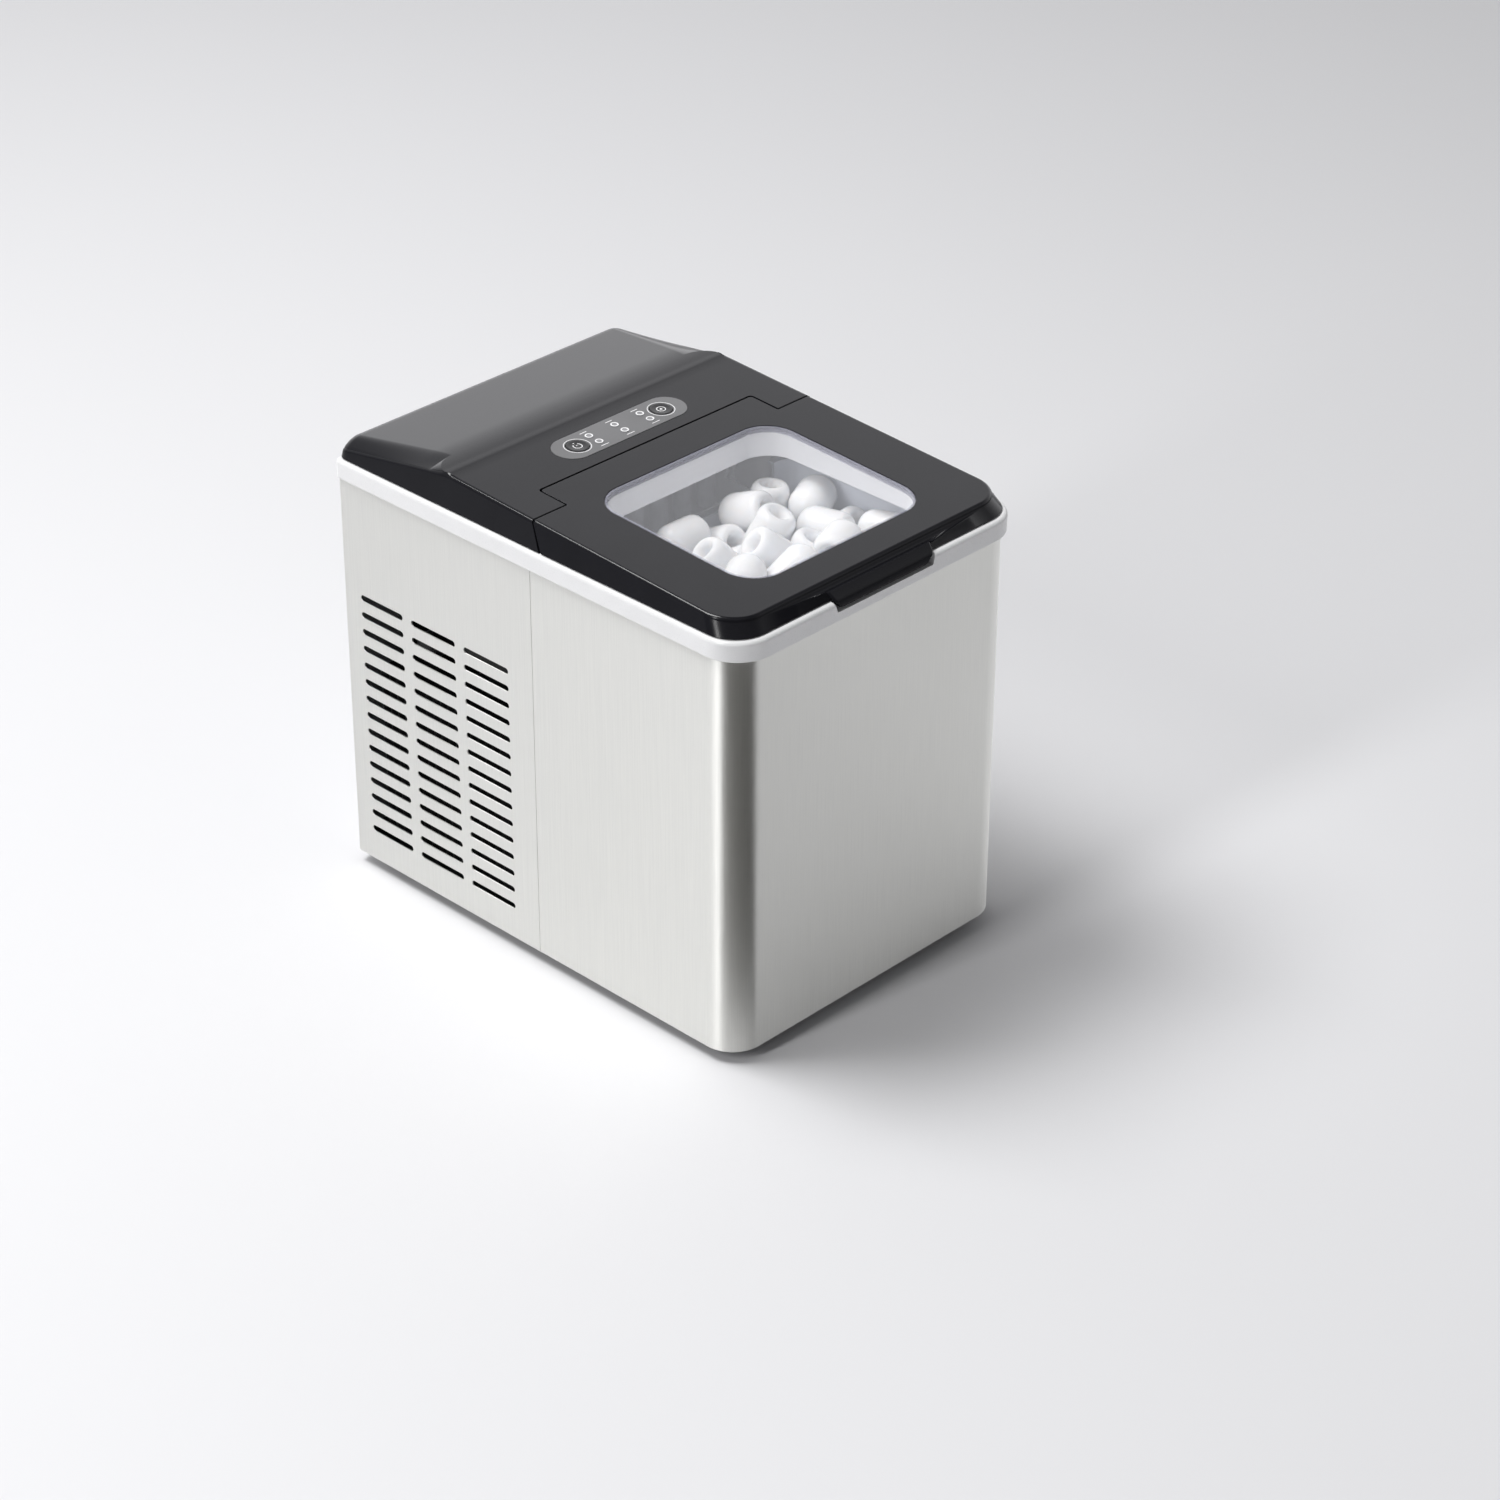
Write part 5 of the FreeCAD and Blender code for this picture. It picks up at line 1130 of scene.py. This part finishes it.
def bullet_profile():
    """Radius and height along a hollow bullet: domed foot, rounded lip and a tapering bore."""
    half = ICE_LENGTH / 2
    lip = half - BULLET_LIP
    rim = ICE_R * 0.985
    profile = [(0.15, -half)]
    for k in range(1, 9):
        angle = pi / 2 * k / 8
        profile.append((ICE_R * sin(angle), -half + ICE_R * 0.9 * (1 - cos(angle))))
    profile += [(ICE_R * 0.995, -4.0), (rim, lip)]
    for k in range(1, 9):
        angle = pi * k / 8
        radius = (rim + BULLET_BORE_R) / 2 + (rim - BULLET_BORE_R) / 2 * cos(angle)
        profile.append((radius, lip + BULLET_LIP * 0.8 * sin(angle)))
    return profile + [(4.1, half - 14.0), (3.2, -2.0), (1.8, -6.0), (0.15, -7.2)]


def build_ice():
    ends = settle_ice()
    draw = np.random.default_rng(ICE_SEED + 1)
    profile = bullet_profile()
    verts, faces = [], []
    for i in range(ICE_COUNT):
        middle = Vector((ends[0][i] + ends[1][i]) / 2)
        axis = Vector(ends[1][i] - ends[0][i]).normalized()
        if axis.z < 0 and draw.random() < 0.75:
            axis = -axis
        turn = axis.to_track_quat("Z", "Y").to_matrix()
        size = draw.uniform(0.93, 1.0)
        length = draw.uniform(0.92, 1.0)
        phase = draw.uniform(0, tau)
        ripple = draw.uniform(0.0, 0.03)
        base = len(verts)
        for radius, height in profile:
            for k in range(BULLET_SIDES):
                angle = tau * k / BULLET_SIDES
                r = radius * size * (1 + ripple * sin(3 * angle + phase))
                spot = Vector((r * cos(angle), r * sin(angle), height * length))
                verts.append(tuple(turn @ spot + middle))
        last = len(verts) - BULLET_SIDES
        for a in range(base, last, BULLET_SIDES):
            for k in range(BULLET_SIDES):
                n = (k + 1) % BULLET_SIDES
                faces.append((a + k, a + n, a + n + BULLET_SIDES, a + k + BULLET_SIDES))
        faces.append(tuple(range(base + BULLET_SIDES - 1, base - 1, -1)))
        faces.append(tuple(range(last, last + BULLET_SIDES)))
    dress(new_piece("bullet_ice", verts, faces), ICE, "ice_basket", "white_plastic", sharp=60.0)


# ---------------- studio
def build_floor():
    floor = box_piece("floor", FLOOR_SPAN, FLOOR_SPAN, FLOOR_Z)
    surface, tree, shader = blank("studio_floor")
    clouds = noise(tree, (0.7,) * 3, 2.0)
    tree.links.new(tinted(tree, clouds, *FLOOR_TONES), shader.inputs["Base Color"])
    set_inputs(shader, {"Roughness": 0.75, "Specular IOR Level": 0.2})
    floor.data.materials.append(surface)


def build_sky():
    """Soft surroundings: dimmer overhead, and dimmer on the near side than on the far side."""
    scene.world = bpy.data.worlds.new("studio")
    scene.world.use_nodes = True
    tree = scene.world.node_tree
    back = tree.nodes["Background"]
    ramp = tree.nodes.new("ShaderNodeValToRGB")
    tree.links.new(coordinate(tree, "Generated", "Z"), ramp.inputs["Fac"])
    stops = ramp.color_ramp.elements
    stops[0].position, stops[1].position = SKY[0][0], SKY[-1][0]
    for position, _ in SKY[1:-1]:
        stops.new(position)
    for stop, (_, bright) in zip(stops, SKY):
        stop.color = (bright, bright, bright * SKY_BLUE, 1)
    tree.links.new(ramp.outputs["Color"], back.inputs["Color"])
    place = tree.nodes.new("ShaderNodeTexCoord")
    facing = tree.nodes.new("ShaderNodeVectorMath")
    facing.operation = "DOT_PRODUCT"
    facing.inputs[1].default_value = SKY_FAR
    tree.links.new(place.outputs["Generated"], facing.inputs[0])
    near, far = (side * SKY_STRENGTH for side in SKY_SIDES)
    tree.links.new(spread(tree, facing.outputs["Value"], near, far, SKY_TURN), back.inputs["Strength"])


def build_lamps():
    for name, (place, aim, size, power) in LAMPS.items():
        data = bpy.data.lights.new(name, "AREA")
        data.shape = "RECTANGLE"
        data.size, data.size_y = size
        data.energy = power
        light = bpy.data.objects.new(name, data)
        light.location = place
        direction = Vector(aim) - Vector(place)
        light.rotation_euler = direction.to_track_quat("-Z", "Y").to_euler()
        scene.collection.objects.link(light)


def build_flag():
    """Dark cloth beside the front corner, seen only as the dark band that it leaves in the steel."""
    x, y, z = FLAG_SIZE
    flag = box_piece("flag", (-x / 2, x / 2), (-y / 2, y / 2), (0.0, z))
    flag.rotation_euler = (0, 0, radians(FLAG_TURN))
    flag.location = (FLAG_AT[0] * MM, FLAG_AT[1] * MM, 0)
    flag.data.materials.append(moulded("flag_cloth", FLAG_GREY, 0.9))
    flag.visible_camera = False
    flag.visible_diffuse = False
    flag.visible_shadow = False
    flag.visible_transmission = False


def build_camera():
    azimuth = radians(CAMERA_AZIMUTH)
    elevation = radians(CAMERA_ELEVATION)
    across = cos(elevation)
    back = Vector((sin(azimuth) * across, -cos(azimuth) * across, sin(elevation)))
    right = Vector((cos(azimuth), sin(azimuth), 0))
    data = bpy.data.cameras.new("camera")
    data.lens = LENS_MM
    data.sensor_width = SENSOR_MM
    data.clip_end = 100.0
    camera = bpy.data.objects.new("camera", data)
    level_turn = Matrix((right, back.cross(right), back)).transposed().to_4x4()
    turn = level_turn @ Matrix.Rotation(radians(CAMERA_ROLL), 4, "Z")
    camera.matrix_world = Matrix.Translation(Vector(CAMERA_AT) * MM) @ turn
    scene.collection.objects.link(camera)
    scene.camera = camera


build_case()
build_shade_screen()
build_rim()
build_rear_cover()
build_lid()
build_lining()
build_window()
build_overlay()
build_buttons()
build_ice()
build_floor()
build_sky()
build_lamps()
build_flag()
build_camera()
scene.view_settings.view_transform = "Standard"
